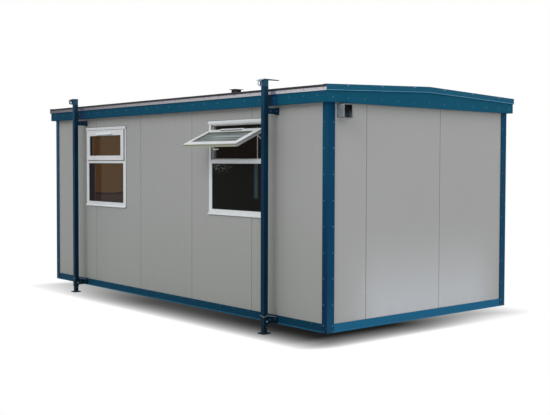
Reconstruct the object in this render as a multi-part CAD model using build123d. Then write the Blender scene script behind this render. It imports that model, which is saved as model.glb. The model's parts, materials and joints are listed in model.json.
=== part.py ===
from build123d import *
from math import atan2, cos, degrees, hypot, radians, sin, tan
import os

# Portable site cabin on four telescopic jack legs, all sizes in millimetres.
# X runs along the long side, the front wall faces -Y, Z is up from the ground.

# --- Driving dimensions -------------------------------------------------------

# Body
cabin_length = 6096          # outer faces of the end walls
cabin_width = 3050           # outer faces of the long walls
wall_thickness = 50
seat = 0.3                   # gap left between pieces that rest on each other
ground_clearance = 95        # underside of the floor beams
first_long_bay = 1220        # from the far end to the first long wall joint
long_bay = 1200
long_bay_count = 5
first_end_bay = 575          # from the front wall to the first end wall joint
end_bay = 1220
end_bay_count = 3
panel_joint = 0.6            # slit between neighbouring panels
panel_chamfer = 4            # V groove at each joint

# Floor
beam_height = 92
beam_flange = 60
beam_gauge = 3
beam_offset = 7              # web of the beam outside the wall face
beam_lip = 3                 # rolled lip along the bottom edge
beam_lip_height = 12
joist_count = 9
joist_flange = 40
deck_thickness = 18

# Corner flashings
flashing_offset = 12         # outer face outside the wall face
flashing_gauge = 1.7
flashing_front = 80
flashing_end = 103
flashing_bend = 6

# Roof
soffit_height = 2517         # underside of the fascias
roof_rise = 175              # from the soffit to the roof panel's top at its eave edge
fascia_offset = 65           # outer face outside the wall face
fascia_gauge = 3
roof_pitch = 2.1             # degrees
roof_panel = 50
eave_overhang = 75           # edge of the roof panel outside the long walls
verge_overhang = 66          # edge of the roof panel outside the end walls
felt_gauge = 4
felt_turndown = 25
drip_height = 54
drip_gauge = 2.4
drip_hem = 7
verge_height = 68
verge_gauge = 3
verge_flange = 60
verge_lip = 7

# Windows
window_width = 1105
window_height = 1124
window_head_gap = 133        # from the soffit down to the frame's head
closed_inset = 1492          # far end wall to the middle of the closed window
open_inset = 1562            # near end wall to the middle of the open window
frame_face = 48              # visible width of the outer frame
frame_bevel = 4
frame_proud = 5              # frame face outside the wall face
frame_flange = 12            # overlap of the frame on the wall
frame_depth = 70
fixed_bead = 22              # extra width beside the fixed light
fixed_sill_rise = 66
fixed_recess = 10            # glass behind the frame face
fanlight_height = 415        # opening between the transom and the frame's head
transom_height = 46
sash_lap = 6                 # overlap of the sash on the frame face
sash_flange = 14             # part of the sash in front of the frame
sash_gap = 5                 # around the sash body in the frame
sash_rail = 78
sash_bottom_rail = 66
sash_bevel = 4
sash_thickness = 46
sash_recess = 12             # glass behind the sash face
sash_stop = 6                # overlap of the frame's rebate on the closed sash
sash_opening_angle = 65.2
sash_drop = 63               # the sash top slides down on its stays
sash_reach = 12              # and out from the frame face
glass_unit = 24
glass_bite = 10              # depth of the glass in its groove
head_trim_height = 32
head_trim_reach = 10         # in front of the frame
head_trim_nose = 4           # front edge below the frame's head
head_trim_rise = 3           # top against the wall above the frame's head
sill_height = 22
sill_nose = 14
sill_fall = 8
vent_length = 450
vent_height = 26
vent_depth = 20
vent_drop = 50               # from the sash's top edge to the middle of the hood
stay_width = 16
stay_grip = 110              # down the sash from its top edge
stay_inset = 14              # behind the sash's flange
stay_foot_rise = 200         # foot of the stay above the transom
stay_foot_depth = 8          # foot of the stay behind the wall face
handle_length = 110
handle_base = 26
handle_plate = 10
handle_plate_half = 14
handle_reach = 30
handle_neck = 9
handle_tail = 12
handle_thickness = 12
handle_half = 10

# Door in the back wall
door_frame_width = 950
door_frame_height = 2080     # above the floor beams
door_frame_face = 45
door_frame_depth = 70
door_leaf = 44
door_gap = 3
door_stop = 14
door_recess = 6              # leaf face inside the frame face
door_threshold = 22
door_handle_height = 1020
door_handle_inset = 55       # from the leaf's closing edge
door_handle_up = 70
door_handle_down = 110
door_handle_width = 40
door_handle_plate = 9
door_handle_neck = 9
door_handle_reach = 44
door_lever_length = 120
door_lever_tail = 12
door_lever_thickness = 12
door_lever_half = 10
door_field_border = 120      # around each pressed field of the leaf
door_field_depth = 5

# Ventilation box on the near end wall
inlet_width = 128
inlet_height = 145
inlet_reach = 125
inlet_wall = 4
inlet_radius = 10
inlet_top_gap = 19           # below the soffit
inlet_side_gap = 23          # beside the corner flashing

# Roof vent on the ridge
roof_vent_centre = -520
roof_vent_side = 100
roof_vent_rise = 190         # top of the cap above the ridge
roof_vent_cap = 155
roof_vent_cap_gauge = 5
roof_vent_slot = 22
roof_vent_slot_depth = 14

# Jack legs
leg_side = 60
leg_wall = 4
leg_clearance = 0.3
leg_standoff = 150           # from the long wall to the back of the leg
near_leg_inset = 822         # near end wall to the middle of the leg
far_leg_inset = 932          # far end wall to the middle of the leg
leg_rise = 281               # leg top above the soffit
leg_bottom = 207
inner_leg_drop = 848         # inner tube's top below the leg top
head_width = 72
head_height = 72
head_gauge = 12
head_radius = 14
cap_gauge = 8
cap_flat = 13                # level part of the cap in front of the tube
cap_lip_reach = 45           # bent part in front of that
cap_lip_drop = 16
cap_tongue = 165             # behind the tube, on the near legs
cap_tip = 22
eye_outer = 30
eye_hole = 22
far_eye_hole = 12            # the far legs have a heavier ring
eye_gauge = 8
eye_sink = 3                 # ring let into the head plate and the cap
upper_arm_drop = 35          # arm top below the soffit
upper_arm_height = 60
upper_arm_width = 54
arm_gauge = 5
arm_plate = 66
arm_plate_gauge = 6
arm_plate_margin = 10
arm_plate_radius = 8
collar_side = 62
collar_height = 125
lower_arm_height = 84
lower_arm_drop = 15          # arm top below the sleeve
foot_side = 110
foot_gauge = 10
foot_radius = 10
pin_radius = 8
pin_overhang = 12

# --- Values worked out from them ------------------------------------------------

half_length = cabin_length / 2
half_width = cabin_width / 2
beam_top = ground_clearance + beam_height
slope = tan(radians(roof_pitch))
roof_eave_top = soffit_height + roof_rise
eave_edge = half_width + eave_overhang
verge_edge = half_length + verge_overhang
ridge_top = roof_eave_top + eave_edge * slope
fascia_face = half_width + fascia_offset
gable_face = half_length + fascia_offset
frame_front = half_width + frame_proud
leg_back = half_width + leg_standoff
leg_centre = leg_back + leg_side / 2
leg_top = soffit_height + leg_rise
near_leg = half_length - near_leg_inset
far_leg = -half_length + far_leg_inset
inner_leg_side = leg_side - 2 * (leg_wall + leg_clearance)
window_head_level = soffit_height - window_head_gap
window_sill_level = window_head_level - window_height
window_centres = (-half_length + closed_inset, half_length - open_inset)
door_bay = long_bay_count // 2
door_centre = -half_length + first_long_bay + (door_bay - 0.5) * long_bay
deck_top = beam_top + seat + deck_thickness


def block(x0, x1, y0, y1, z0, z1):
    # Box between two corners.
    centre = ((x0 + x1) / 2, (y0 + y1) / 2, (z0 + z1) / 2)
    return Pos(*centre) * Box(abs(x1 - x0), abs(y1 - y0), abs(z1 - z0))


def prism_x(points, x0, x1):
    # Outline of (y, z) points drawn out along X.
    outline = Plane.YZ.offset(x0) * Polyline(*points, close=True)
    return extrude(make_face(outline), amount=x1 - x0, dir=(1, 0, 0))


def prism_y(points, y0, y1):
    # Outline of (x, z) points drawn out along Y.
    outline = Plane.XZ.offset(-y0) * Polyline(*points, close=True)
    return extrude(make_face(outline), amount=y1 - y0, dir=(0, 1, 0))


def prism_z(points, z0, z1):
    # Outline of (x, y) points drawn out along Z.
    outline = Plane.XY.offset(z0) * Polyline(*points, close=True)
    return extrude(make_face(outline), amount=z1 - z0, dir=(0, 0, 1))


def square_tube(side, wall, z0, z1):
    # Upright square tube with rounded outer corners.
    outer = block(-side / 2, side / 2, -side / 2, side / 2, z0, z1)
    outer = fillet(outer.edges().filter_by(Axis.Z), wall)
    hollow = side / 2 - wall
    return outer - block(-hollow, hollow, -hollow, hollow, z0 - 1, z1 + 1)


def mirrored_back(shape):
    return mirror(shape, about=Plane.XZ)


def mirrored_end(shape):
    return mirror(shape, about=Plane.YZ)


def group(pieces):
    # Separate solids of one kind that share a node.
    return Compound([solid for piece in pieces for solid in piece.solids()])


def roof_line(offset):
    # Height of the roof panel's top face plus an offset, at a distance from the ridge.
    return lambda y: ridge_top - abs(y) * slope + offset


def pitched_band(reach, top_offset, bottom_offset, x0, x1):
    # Band that follows both slopes, between two offsets from the panel's top face.
    top = roof_line(top_offset)
    bottom = roof_line(bottom_offset)
    points = [(-reach, bottom(reach)), (0, bottom(0)), (reach, bottom(reach)),
              (reach, top(reach)), (0, top(0)), (-reach, top(reach))]
    return prism_x(points, x0, x1)


# Space below the roof panels, used to cut the wall tops to the pitch.
panel_underside = roof_line(-roof_panel - seat)
below_roof = prism_x([(-eave_edge, 0), (eave_edge, 0), (eave_edge, panel_underside(eave_edge)),
                      (0, panel_underside(0)), (-eave_edge, panel_underside(eave_edge))],
                     -half_length - 1, half_length + 1)

nodes = {}

# --- Floor ------------------------------------------------------------------------


def beam_profile():
    # Channel opening inwards: distance outside the wall face, height above the underside.
    back = beam_offset - beam_flange
    return [(back, 0), (beam_offset + beam_lip, 0), (beam_offset + beam_lip, beam_lip_height - beam_lip),
            (beam_offset, beam_lip_height), (beam_offset, beam_height), (back, beam_height),
            (back, beam_height - beam_gauge), (beam_offset - beam_gauge, beam_height - beam_gauge),
            (beam_offset - beam_gauge, beam_gauge), (back, beam_gauge)]


long_beam = prism_x([(-half_width - out, ground_clearance + up) for out, up in beam_profile()],
                    -half_length - beam_offset, half_length + beam_offset)
end_beam_reach = half_width + beam_offset - beam_flange - seat
end_beam = prism_y([(half_length + out, ground_clearance + up) for out, up in beam_profile()],
                   -end_beam_reach, end_beam_reach)
nodes["long_floor_beams"] = group([long_beam, mirrored_back(long_beam)])
nodes["end_floor_beams"] = group([end_beam, mirrored_end(end_beam)])

joist_reach = end_beam_reach
joist_section = [(0, 0), (joist_flange, 0), (joist_flange, beam_gauge), (beam_gauge, beam_gauge),
                 (beam_gauge, beam_height - beam_gauge), (joist_flange, beam_height - beam_gauge),
                 (joist_flange, beam_height), (0, beam_height)]
joist_pitch = (cabin_length - 2 * (beam_flange - beam_offset)) / (joist_count + 1)
joists = []
for index in range(joist_count):
    x = (index - (joist_count - 1) / 2) * joist_pitch
    points = [(x - joist_flange / 2 + across, ground_clearance + up) for across, up in joist_section]
    joists.append(prism_y(points, -joist_reach, joist_reach))
nodes["floor_joists"] = group(joists)

deck_x = half_length - wall_thickness - seat
deck_y = half_width - wall_thickness - seat
nodes["floor_deck"] = block(-deck_x, deck_x, -deck_y, deck_y, beam_top + seat, deck_top)

# --- Walls ------------------------------------------------------------------------


def wall_panel(start, end, length_ends):
    # Sandwich panel of a wall along X at the front, outer face at -half_width, with V edges.
    left_chamfer, right_chamfer = length_ends
    outer, inner = -half_width, -half_width + wall_thickness
    points = [(start, inner), (end, inner), (end, outer + right_chamfer), (end - right_chamfer, outer),
              (start + left_chamfer, outer), (start, outer + left_chamfer)]
    kept = [point for number, point in enumerate(points) if point not in points[:number]]
    return prism_z(kept, beam_top + seat, ridge_top)


def window_hole(centre):
    # Hole in the front wall that takes the body of a window frame.
    reach = window_width / 2 - frame_flange + seat
    return block(centre - reach, centre + reach, -half_width - 1, -half_width + wall_thickness + 1,
                 window_sill_level + frame_flange - seat, window_head_level - frame_flange + seat)


def bay_ends(first_bay, bay, count, total):
    joints = [-total / 2] + [-total / 2 + first_bay + bay * step for step in range(count - 1)] + [total / 2]
    spans = []
    for number in range(count):
        left = joints[number] + (panel_joint / 2 if number else 0)
        right = joints[number + 1] - (panel_joint / 2 if number < count - 1 else 0)
        chamfers = (panel_chamfer if number else 0, panel_chamfer if number < count - 1 else 0)
        spans.append((left, right, chamfers))
    return spans


long_spans = bay_ends(first_long_bay, long_bay, long_bay_count, cabin_length)
for number, (left, right, chamfers) in enumerate(long_spans, start=1):
    panel = wall_panel(left, right, chamfers) & below_roof
    for centre in window_centres:
        if left < centre + window_width / 2 and right > centre - window_width / 2:
            panel -= window_hole(centre)
    nodes[f"front_wall_panel_{number}"] = panel

door_half = door_frame_width / 2
door_head = beam_top + door_frame_height
back_panels = []
for left, right, chamfers in long_spans:
    panel = mirrored_back(wall_panel(left, right, chamfers) & below_roof)
    if left < door_centre < right:
        doorway = block(door_centre - door_half - seat, door_centre + door_half + seat,
                        half_width - wall_thickness - 1, half_width + 1, 0, door_head + seat)
        nodes["back_door_panel"] = panel - doorway
    else:
        back_panels.append(panel)
nodes["back_wall_panels"] = group(back_panels)

# The end walls stand between the long walls: the same panel turned through a right angle.
end_total = cabin_width - 2 * (wall_thickness + seat)
end_panels = []
first_end_panel = first_end_bay - wall_thickness - seat
for left, right, chamfers in bay_ends(first_end_panel, end_bay, end_bay_count, end_total):
    turned = Rot(Z=90) * wall_panel(left, right, chamfers)
    end_panels.append(Pos(half_length - half_width, 0, 0) * turned & below_roof)
nodes["near_end_wall"] = group(end_panels)
nodes["far_end_wall"] = group([mirrored_end(panel) for panel in end_panels])

# --- Corner flashings ---------------------------------------------------------------


def corner_flashing():
    # Folded angle over the near front corner, with returns to the wall faces above the beams.
    face_x = half_length + flashing_offset
    face_y = half_width + flashing_offset
    end_edge = -face_y + flashing_end
    front_edge = face_x - flashing_front
    inner_x = face_x - flashing_gauge
    inner_y = face_y - flashing_gauge
    angle = prism_z([(front_edge, -face_y), (face_x, -face_y), (face_x, end_edge), (inner_x, end_edge),
                     (inner_x, -inner_y), (front_edge, -inner_y)], ground_clearance, soffit_height - seat)
    inner_bend = angle.edges().filter_by(Axis.Z).sort_by_distance((inner_x, -inner_y, 0))[0]
    angle = fillet(inner_bend, flashing_bend - flashing_gauge)
    outer_bend = angle.edges().filter_by(Axis.Z).sort_by_distance((face_x, -face_y, 0))[0]
    angle = fillet(outer_bend, flashing_bend)
    low, high = beam_top + seat, soffit_height - seat
    front_return = block(front_edge, front_edge + flashing_gauge, -inner_y, -half_width - seat, low, high)
    end_return = block(half_length + seat, inner_x, end_edge - flashing_gauge, end_edge, low, high)
    return angle + front_return + end_return


near_front_flashing = corner_flashing()
front_flashings = [near_front_flashing, mirrored_end(near_front_flashing)]
nodes["corner_flashings"] = group(front_flashings + [mirrored_back(piece) for piece in front_flashings])

# --- Roof ---------------------------------------------------------------------------

slope_top = roof_line(0)
slope_bottom = roof_line(-roof_panel)
front_slope = prism_x([(-eave_edge, slope_bottom(eave_edge)), (-seat / 2, slope_bottom(0)),
                       (-seat / 2, slope_top(0)), (-eave_edge, slope_top(eave_edge))],
                       -verge_edge, verge_edge)
nodes["roof_panels"] = group([front_slope, mirrored_back(front_slope)])

# Felt laid over both slopes and turned down outside the drip strips.
felt_bottom = roof_line(seat)
felt_top = roof_line(seat + felt_gauge)
felt_inner = eave_edge + seat + drip_gauge + seat
felt_outer = felt_inner + felt_gauge
felt_foot = felt_top(felt_outer) - felt_turndown
nodes["roof_felt"] = prism_x(
    [(-felt_outer, felt_foot), (-felt_inner, felt_foot), (-felt_inner, felt_bottom(felt_inner)),
     (0, felt_bottom(0)), (felt_inner, felt_bottom(felt_inner)), (felt_inner, felt_foot),
     (felt_outer, felt_foot), (felt_outer, felt_top(felt_outer)), (0, felt_top(0)),
     (-felt_outer, felt_top(felt_outer))], -verge_edge, verge_edge)


def drip_strip():
    # Galvanised strip on the front eave edge with a hem folded back under the panel.
    back, front = -eave_edge - seat, -eave_edge - seat - drip_gauge
    top = roof_eave_top - drip_gauge
    foot = top - drip_height
    return prism_x([(front, foot), (front + drip_hem + drip_gauge, foot),
                    (front + drip_hem + drip_gauge, foot + drip_gauge), (back, foot + drip_gauge),
                    (back, top), (front, top)], -verge_edge, verge_edge)


front_drip = drip_strip()
nodes["eave_drips"] = group([front_drip, mirrored_back(front_drip)])


def eave_fascia():
    # Pressed channel along the front eave, closed side outwards, flanges back to the wall.
    back = -half_width - seat
    face = -fascia_face
    top = panel_underside(fascia_face)
    return prism_x([(back, soffit_height), (face, soffit_height), (face, top), (back, top),
                    (back, top - fascia_gauge), (face + fascia_gauge, top - fascia_gauge),
                    (face + fascia_gauge, soffit_height + fascia_gauge),
                    (back, soffit_height + fascia_gauge)], -half_length, half_length)


front_fascia = eave_fascia()
nodes["eave_fascias"] = group([front_fascia, mirrored_back(front_fascia)])


def gable_fascia():
    # Tapered channel across the near end: level foot, top cut to the pitch, wraps the eave ends.
    reach = fascia_face
    top = panel_underside
    outline = [(-reach, soffit_height), (reach, soffit_height), (reach, top(reach)),
               (0, top(0)), (-reach, top(reach))]
    g = fascia_gauge
    inner = reach - g
    hollow = [(-inner, soffit_height + g), (inner, soffit_height + g), (inner, top(inner) - g),
              (0, top(0) - g), (-inner, top(inner) - g)]
    start = half_length + seat
    return prism_x(outline, start, gable_face) - prism_x(hollow, start - 1, gable_face - g)


near_gable = gable_fascia()
nodes["gable_fascias"] = group([near_gable, mirrored_end(near_gable)])


def verge_trim():
    # Folded trim over the near verge: flange on the felt, face band, kicked-out lip.
    face = verge_edge + seat
    outer = face + verge_gauge
    felt_upper = seat + felt_gauge + seat
    reach = felt_outer
    band = pitched_band(reach, felt_upper + verge_gauge, felt_upper + verge_gauge - verge_height, face, outer)
    flange = pitched_band(reach, felt_upper + verge_gauge, felt_upper, outer - verge_flange, outer)
    lip_top = felt_upper + verge_gauge - verge_height + verge_gauge
    lip = pitched_band(reach, lip_top, lip_top - verge_gauge, face, outer + verge_lip)
    return band + flange + lip


near_verge = verge_trim()
nodes["verge_trims"] = group([near_verge, mirrored_end(near_verge)])


def roof_vent():
    # Square stack on the ridge with louvre slots on all sides under a wider flat cap.
    half = roof_vent_side / 2
    foot = roof_line(seat + felt_gauge + seat)
    top = ridge_top + roof_vent_rise
    neck = top - roof_vent_cap_gauge
    stack = prism_x([(-half, foot(half)), (0, foot(0)), (half, foot(half)), (half, neck), (-half, neck)],
                    roof_vent_centre - half, roof_vent_centre + half)
    cap_half = roof_vent_cap / 2
    cap = block(roof_vent_centre - cap_half, roof_vent_centre + cap_half, -cap_half, cap_half, neck, top)
    slot_half = half - roof_vent_slot
    slot_top = neck - roof_vent_slot / 2
    for level in range(2):
        high = slot_top - level * 2 * roof_vent_slot
        low = high - roof_vent_slot
        across = block(-slot_half, slot_half, -half - 1, half + 1, low, high)
        along = block(-half - 1, half + 1, -slot_half, slot_half, low, high)
        stack -= Pos(roof_vent_centre, 0, 0) * (across + along)
    core = half - roof_vent_slot_depth
    stack += Pos(roof_vent_centre, 0, 0) * block(-core, core, -core, core, low - 1, neck)
    return stack + cap


nodes["roof_vent"] = roof_vent()

# --- Windows ------------------------------------------------------------------------

vent_half = window_width / 2 - frame_face
vent_high = window_head_level - frame_face
transom_top = vent_high - fanlight_height
transom_bottom = transom_top - transom_height
fixed_half = vent_half - fixed_bead
fixed_low = window_sill_level + fixed_sill_rise
sash_half = vent_half + sash_lap
sash_low = transom_top - sash_lap
sash_high = vent_high + sash_lap
sash_face = -frame_front - seat - sash_flange
sash_body_half = vent_half - sash_gap
sash_body_low = transom_top + sash_gap
sash_body_high = vent_high - sash_gap


def pane(centre, half, low, high, front):
    # Sealed glass unit that sits in its groove all round.
    return block(centre - half - glass_bite, centre + half + glass_bite, front, front + glass_unit,
                 low - glass_bite, high + glass_bite)


def groove(centre, half, low, high, front):
    bite = glass_bite + seat
    return block(centre - half - bite, centre + half + bite, front - seat, front + glass_unit + seat,
                 low - bite, high + bite)


fixed_front = -frame_front + fixed_recess
sash_glass_front = sash_face + sash_recess


def window_frame(centre):
    # Outer frame with transom, a flange on the wall and the groove of the fixed light.
    back = -frame_front + frame_depth
    half = window_width / 2
    body = block(centre - half + frame_flange, centre + half - frame_flange, -half_width - seat, back,
                 window_sill_level + frame_flange, window_head_level - frame_flange)
    face = block(centre - half, centre + half, -frame_front, -half_width - seat,
                 window_sill_level, window_head_level)
    face = chamfer(face.faces().sort_by(Axis.Y)[0].edges(), frame_bevel)
    frame = body + face
    through = (-frame_front - 1, back + 1)
    stop_front = sash_face + sash_thickness + seat
    frame -= block(centre - vent_half, centre + vent_half, -frame_front - 1, stop_front,
                   transom_top, vent_high)
    narrow = sash_gap + sash_stop
    frame -= block(centre - vent_half + narrow, centre + vent_half - narrow, *through,
                   transom_top + narrow, vent_high - narrow)
    frame -= block(centre - fixed_half, centre + fixed_half, *through, fixed_low, transom_bottom)
    return frame - groove(centre, fixed_half, fixed_low, transom_bottom, fixed_front)


def sash(centre):
    # Closed top-hung sash: bevelled flange over the frame face, body in the frame, glass groove.
    flange = block(centre - sash_half, centre + sash_half, sash_face, sash_face + sash_flange,
                   sash_low, sash_high)
    flange = chamfer(flange.faces().sort_by(Axis.Y)[0].edges(), sash_bevel)
    body = flange + block(centre - sash_body_half, centre + sash_body_half, sash_face + sash_flange,
                          sash_face + sash_thickness, sash_body_low, sash_body_high)
    glass_half = sash_half - sash_rail
    low, high = sash_low + sash_bottom_rail, sash_high - sash_rail
    body -= block(centre - glass_half, centre + glass_half, sash_face - 1, sash_face + sash_thickness + 1,
                  low, high)
    return body - groove(centre, glass_half, low, high, sash_glass_front)


def sash_glass(centre):
    low, high = sash_low + sash_bottom_rail, sash_high - sash_rail
    return pane(centre, sash_half - sash_rail, low, high, sash_glass_front)


def trickle_vent(centre):
    # Slim hood with round ends on the top rail of the sash.
    hood = Pos(centre, sash_high - vent_drop) * SlotOverall(vent_length, vent_height)
    return extrude(Plane.XZ.offset(-sash_face + seat) * hood, amount=vent_depth)


def sash_handle(centre):
    # Lever handle on the inner face of the bottom rail.
    inner = sash_face + sash_thickness + seat
    root = inner + handle_plate
    tip = root + handle_reach
    middle = (sash_body_low + sash_low + sash_bottom_rail) / 2
    plate = block(centre - handle_base, centre + handle_base, inner, root,
                  middle - handle_plate_half, middle + handle_plate_half)
    neck = Pos(centre, root + handle_reach / 2, middle) * Rot(X=90) * Cylinder(handle_neck, handle_reach)
    lever = block(centre - handle_tail, centre + handle_length, tip - handle_thickness, tip,
                  middle - handle_half, middle + handle_half)
    return plate + neck + lever


def opened(piece):
    # Turns a piece of the closed sash about its top edge and slides it out on the stays.
    to_edge = Pos(0, -sash_face, -sash_high)
    from_edge = Pos(0, -frame_front - sash_reach, sash_high - sash_drop)
    return from_edge * Rot(X=-sash_opening_angle) * to_edge * piece


def sash_point(down, inward):
    # Point on the opened sash: distance down its face from the top edge and inward from that face.
    turn = radians(sash_opening_angle)
    y = -frame_front - sash_reach - down * sin(turn) + inward * cos(turn)
    z = sash_high - sash_drop - down * cos(turn) - inward * sin(turn)
    return y, z


def stay_bar(start, end, x0, x1):
    # Flat bar between two (y, z) points with round ends.
    middle = ((start[0] + end[0]) / 2, (start[1] + end[1]) / 2)
    run_y, run_z = end[0] - start[0], end[1] - start[1]
    turn = Rot(Z=degrees(atan2(run_z, run_y)))
    outline = Plane.YZ.offset(x0) * Pos(*middle) * turn * SlotCenterToCenter(hypot(run_y, run_z), stay_width)
    return extrude(outline, amount=x1 - x0)


closed_centre, open_centre = window_centres
nodes["left_window_frame"] = window_frame(closed_centre)
nodes["right_window_frame"] = window_frame(open_centre)
nodes["left_window_sash"] = sash(closed_centre)
nodes["right_window_sash"] = opened(sash(open_centre))
nodes["fixed_glass"] = group([pane(centre, fixed_half, fixed_low, transom_bottom, fixed_front)
                              for centre in window_centres])
nodes["sash_glass"] = group([sash_glass(closed_centre), opened(sash_glass(open_centre))])
nodes["trickle_vents"] = group([trickle_vent(closed_centre), opened(trickle_vent(open_centre))])
nodes["sash_handles"] = group([sash_handle(closed_centre), opened(sash_handle(open_centre))])

arm_foot = (-half_width + stay_foot_depth, transom_top + stay_foot_rise)
arm_tip = sash_point(stay_grip, sash_flange + stay_inset)
stays = []
for side in (-1, 1):
    inner = open_centre + side * (sash_body_half + seat)
    outer = open_centre + side * (vent_half - seat)
    stays.append(stay_bar(arm_foot, arm_tip, min(inner, outer), max(inner, outer)))
nodes["sash_stays"] = group(stays)


def head_trim(centre):
    # Drip trim over the frame's head with a sloping top.
    half = window_width / 2
    face = -frame_front - seat
    front = face - head_trim_reach
    nose = window_head_level - head_trim_nose
    back = -half_width - seat
    return prism_x([(face, nose - head_trim_height), (front, nose - head_trim_height), (front, nose),
                    (back, window_head_level + head_trim_rise), (back, window_head_level + seat),
                    (face, window_head_level + seat)], centre - half, centre + half)


def window_sill(centre):
    # Nosing in front of the frame's foot with its top sloping out.
    half = window_width / 2
    face = -frame_front - seat
    low, high = window_sill_level, window_sill_level + sill_height
    return prism_x([(face, low), (face - sill_nose, low), (face - sill_nose, high - sill_fall),
                    (face, high)], centre - half, centre + half)


nodes["window_head_trims"] = group([head_trim(centre) for centre in window_centres])
nodes["window_sills"] = group([window_sill(centre) for centre in window_centres])

# --- Door in the back wall --------------------------------------------------------------

door_back = half_width - wall_thickness
door_front = half_width + door_frame_depth - wall_thickness


def door_frame():
    # Three-sided frame with a sill between its posts.
    frame = block(door_centre - door_half, door_centre + door_half, door_back, door_front,
                  beam_top + seat, door_head)
    half = door_half - door_frame_face
    low, high = beam_top + door_threshold, door_head - door_frame_face
    stop_face = door_front - door_recess - door_leaf - seat
    frame -= block(door_centre - half, door_centre + half, stop_face, door_front + 1, low, high)
    half -= door_stop
    return frame - block(door_centre - half, door_centre + half, door_back - 1, door_front,
                         low, high - door_stop)


def door_panel():
    # Leaf with two pressed fields on its outer face.
    half = door_half - door_frame_face - door_gap
    low = beam_top + door_threshold + door_gap
    high = door_head - door_frame_face - door_gap
    face = door_front - door_recess
    leaf = block(door_centre - half, door_centre + half, face - door_leaf, face, low, high)
    middle = (low + high) / 2
    side = half - door_field_border
    rail = door_field_border / 2
    for z0, z1 in ((low + door_field_border, middle - rail), (middle + rail, high - door_field_border)):
        leaf -= block(door_centre - side, door_centre + side, face - door_field_depth, face + 1, z0, z1)
    return leaf


def door_handle():
    # Lever on a plate near the closing edge.
    x = door_centre + door_half - door_frame_face - door_gap - door_handle_inset
    face = door_front - door_recess + seat
    z = beam_top + door_handle_height
    root = face + door_handle_plate
    tip = root + door_handle_reach
    half = door_handle_width / 2
    plate = block(x - half, x + half, face, root, z - door_handle_down, z + door_handle_up)
    neck = Pos(x, (root + tip) / 2, z) * Rot(X=90) * Cylinder(door_handle_neck, door_handle_reach)
    lever = block(x - door_lever_length, x + door_lever_tail, tip - door_lever_thickness, tip,
                  z - door_lever_half, z + door_lever_half)
    return plate + neck + lever


nodes["door_frame"] = door_frame()
nodes["door_leaf"] = door_panel()
nodes["door_handle"] = door_handle()

# --- Ventilation box ----------------------------------------------------------------------


def inlet_box():
    # Rounded square duct end, open to the outside, with a back plate on the wall.
    start = half_length + seat
    y0 = -half_width - flashing_offset + flashing_end + inlet_side_gap
    z1 = soffit_height - inlet_top_gap
    middle = (y0 + inlet_width / 2, z1 - inlet_height / 2)
    plane = Plane.YZ.offset(start) * Pos(*middle)
    outer = extrude(plane * RectangleRounded(inlet_width, inlet_height, inlet_radius), amount=inlet_reach)
    bore = plane * Pos(0, 0, inlet_wall) * RectangleRounded(
        inlet_width - 2 * inlet_wall, inlet_height - 2 * inlet_wall, inlet_radius - inlet_wall)
    return outer - extrude(bore, amount=inlet_reach)


nodes["inlet_box"] = inlet_box()

# --- Jack legs ----------------------------------------------------------------------------


def leg_sleeve(tongue, hole):
    # Outer tube with its head plate, bent cap and lifting eye, axis at the origin, front at -Y.
    side = leg_side / 2
    under_cap = leg_top - cap_gauge
    tube = square_tube(leg_side, leg_wall, leg_bottom, under_cap)
    plug = side - leg_wall
    tube += block(-plug, plug, -plug, plug, under_cap - leg_wall, under_cap)
    front = -side - head_gauge
    head = block(-head_width / 2, head_width / 2, front, -side, under_cap - head_height, under_cap)
    head = fillet(head.edges().filter_by(Axis.Y).group_by(Axis.Z)[0], head_radius)
    wide = head_width / 2
    outline = [(-wide, -side - cap_flat), (wide, -side - cap_flat), (wide, side)]
    if tongue:
        outline += [(cap_tip / 2, side + tongue), (-cap_tip / 2, side + tongue)]
    cap = prism_z(outline + [(-wide, side)], under_cap, leg_top)
    bend = -side - cap_flat
    lip = prism_x([(bend, under_cap), (bend, leg_top), (bend - cap_lip_reach, leg_top - cap_lip_drop),
                   (bend - cap_lip_reach, under_cap - cap_lip_drop)], -wide, wide)
    eye_centre = (front + eye_sink - eye_outer, under_cap - cap_lip_drop + eye_sink - eye_outer)
    ring = Plane.YZ.offset(-eye_gauge / 2) * Pos(*eye_centre) * (Circle(eye_outer) - Circle(hole))
    return tube + head + cap + lip + extrude(ring, amount=eye_gauge)


def upper_bracket():
    # Square arm from the wall to the leg with a plate on the wall.
    high = soffit_height - upper_arm_drop
    low = high - upper_arm_height
    half = upper_arm_width / 2
    near = leg_side / 2 + seat
    far = leg_side / 2 + leg_standoff - seat
    arm = block(-half, half, near, far, low, high)
    arm -= block(-half + arm_gauge, half - arm_gauge, near + arm_gauge, far + 1, low - 1, high - arm_gauge)
    plate = block(-arm_plate / 2, arm_plate / 2, far - arm_plate_gauge, far,
                  low - arm_plate_margin, high + arm_plate_margin)
    return arm + fillet(plate.edges().filter_by(Axis.Y), arm_plate_radius)


def lower_bracket():
    # Collar under the sleeve and an arm back to the floor beam, locked by a cross pin.
    high = leg_bottom - seat
    low = high - collar_height
    collar = square_tube(collar_side, (collar_side - leg_side) / 2 + leg_wall, low, high)
    half = upper_arm_width / 2
    near = collar_side / 2 - 1
    far = leg_side / 2 + leg_standoff - beam_offset - beam_lip - seat
    arm_high = high - lower_arm_drop
    arm_low = arm_high - lower_arm_height
    arm = block(-half, half, near, far, arm_low, arm_high)
    arm -= block(-half + arm_gauge, half - arm_gauge, near + arm_gauge, far + 1,
                 arm_low - 1, arm_high - arm_gauge)
    plate = block(-arm_plate / 2, arm_plate / 2, far - arm_plate_gauge, far,
                  ground_clearance + beam_lip, beam_top)
    return collar + arm + fillet(plate.edges().filter_by(Axis.Y), arm_plate_radius)


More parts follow.
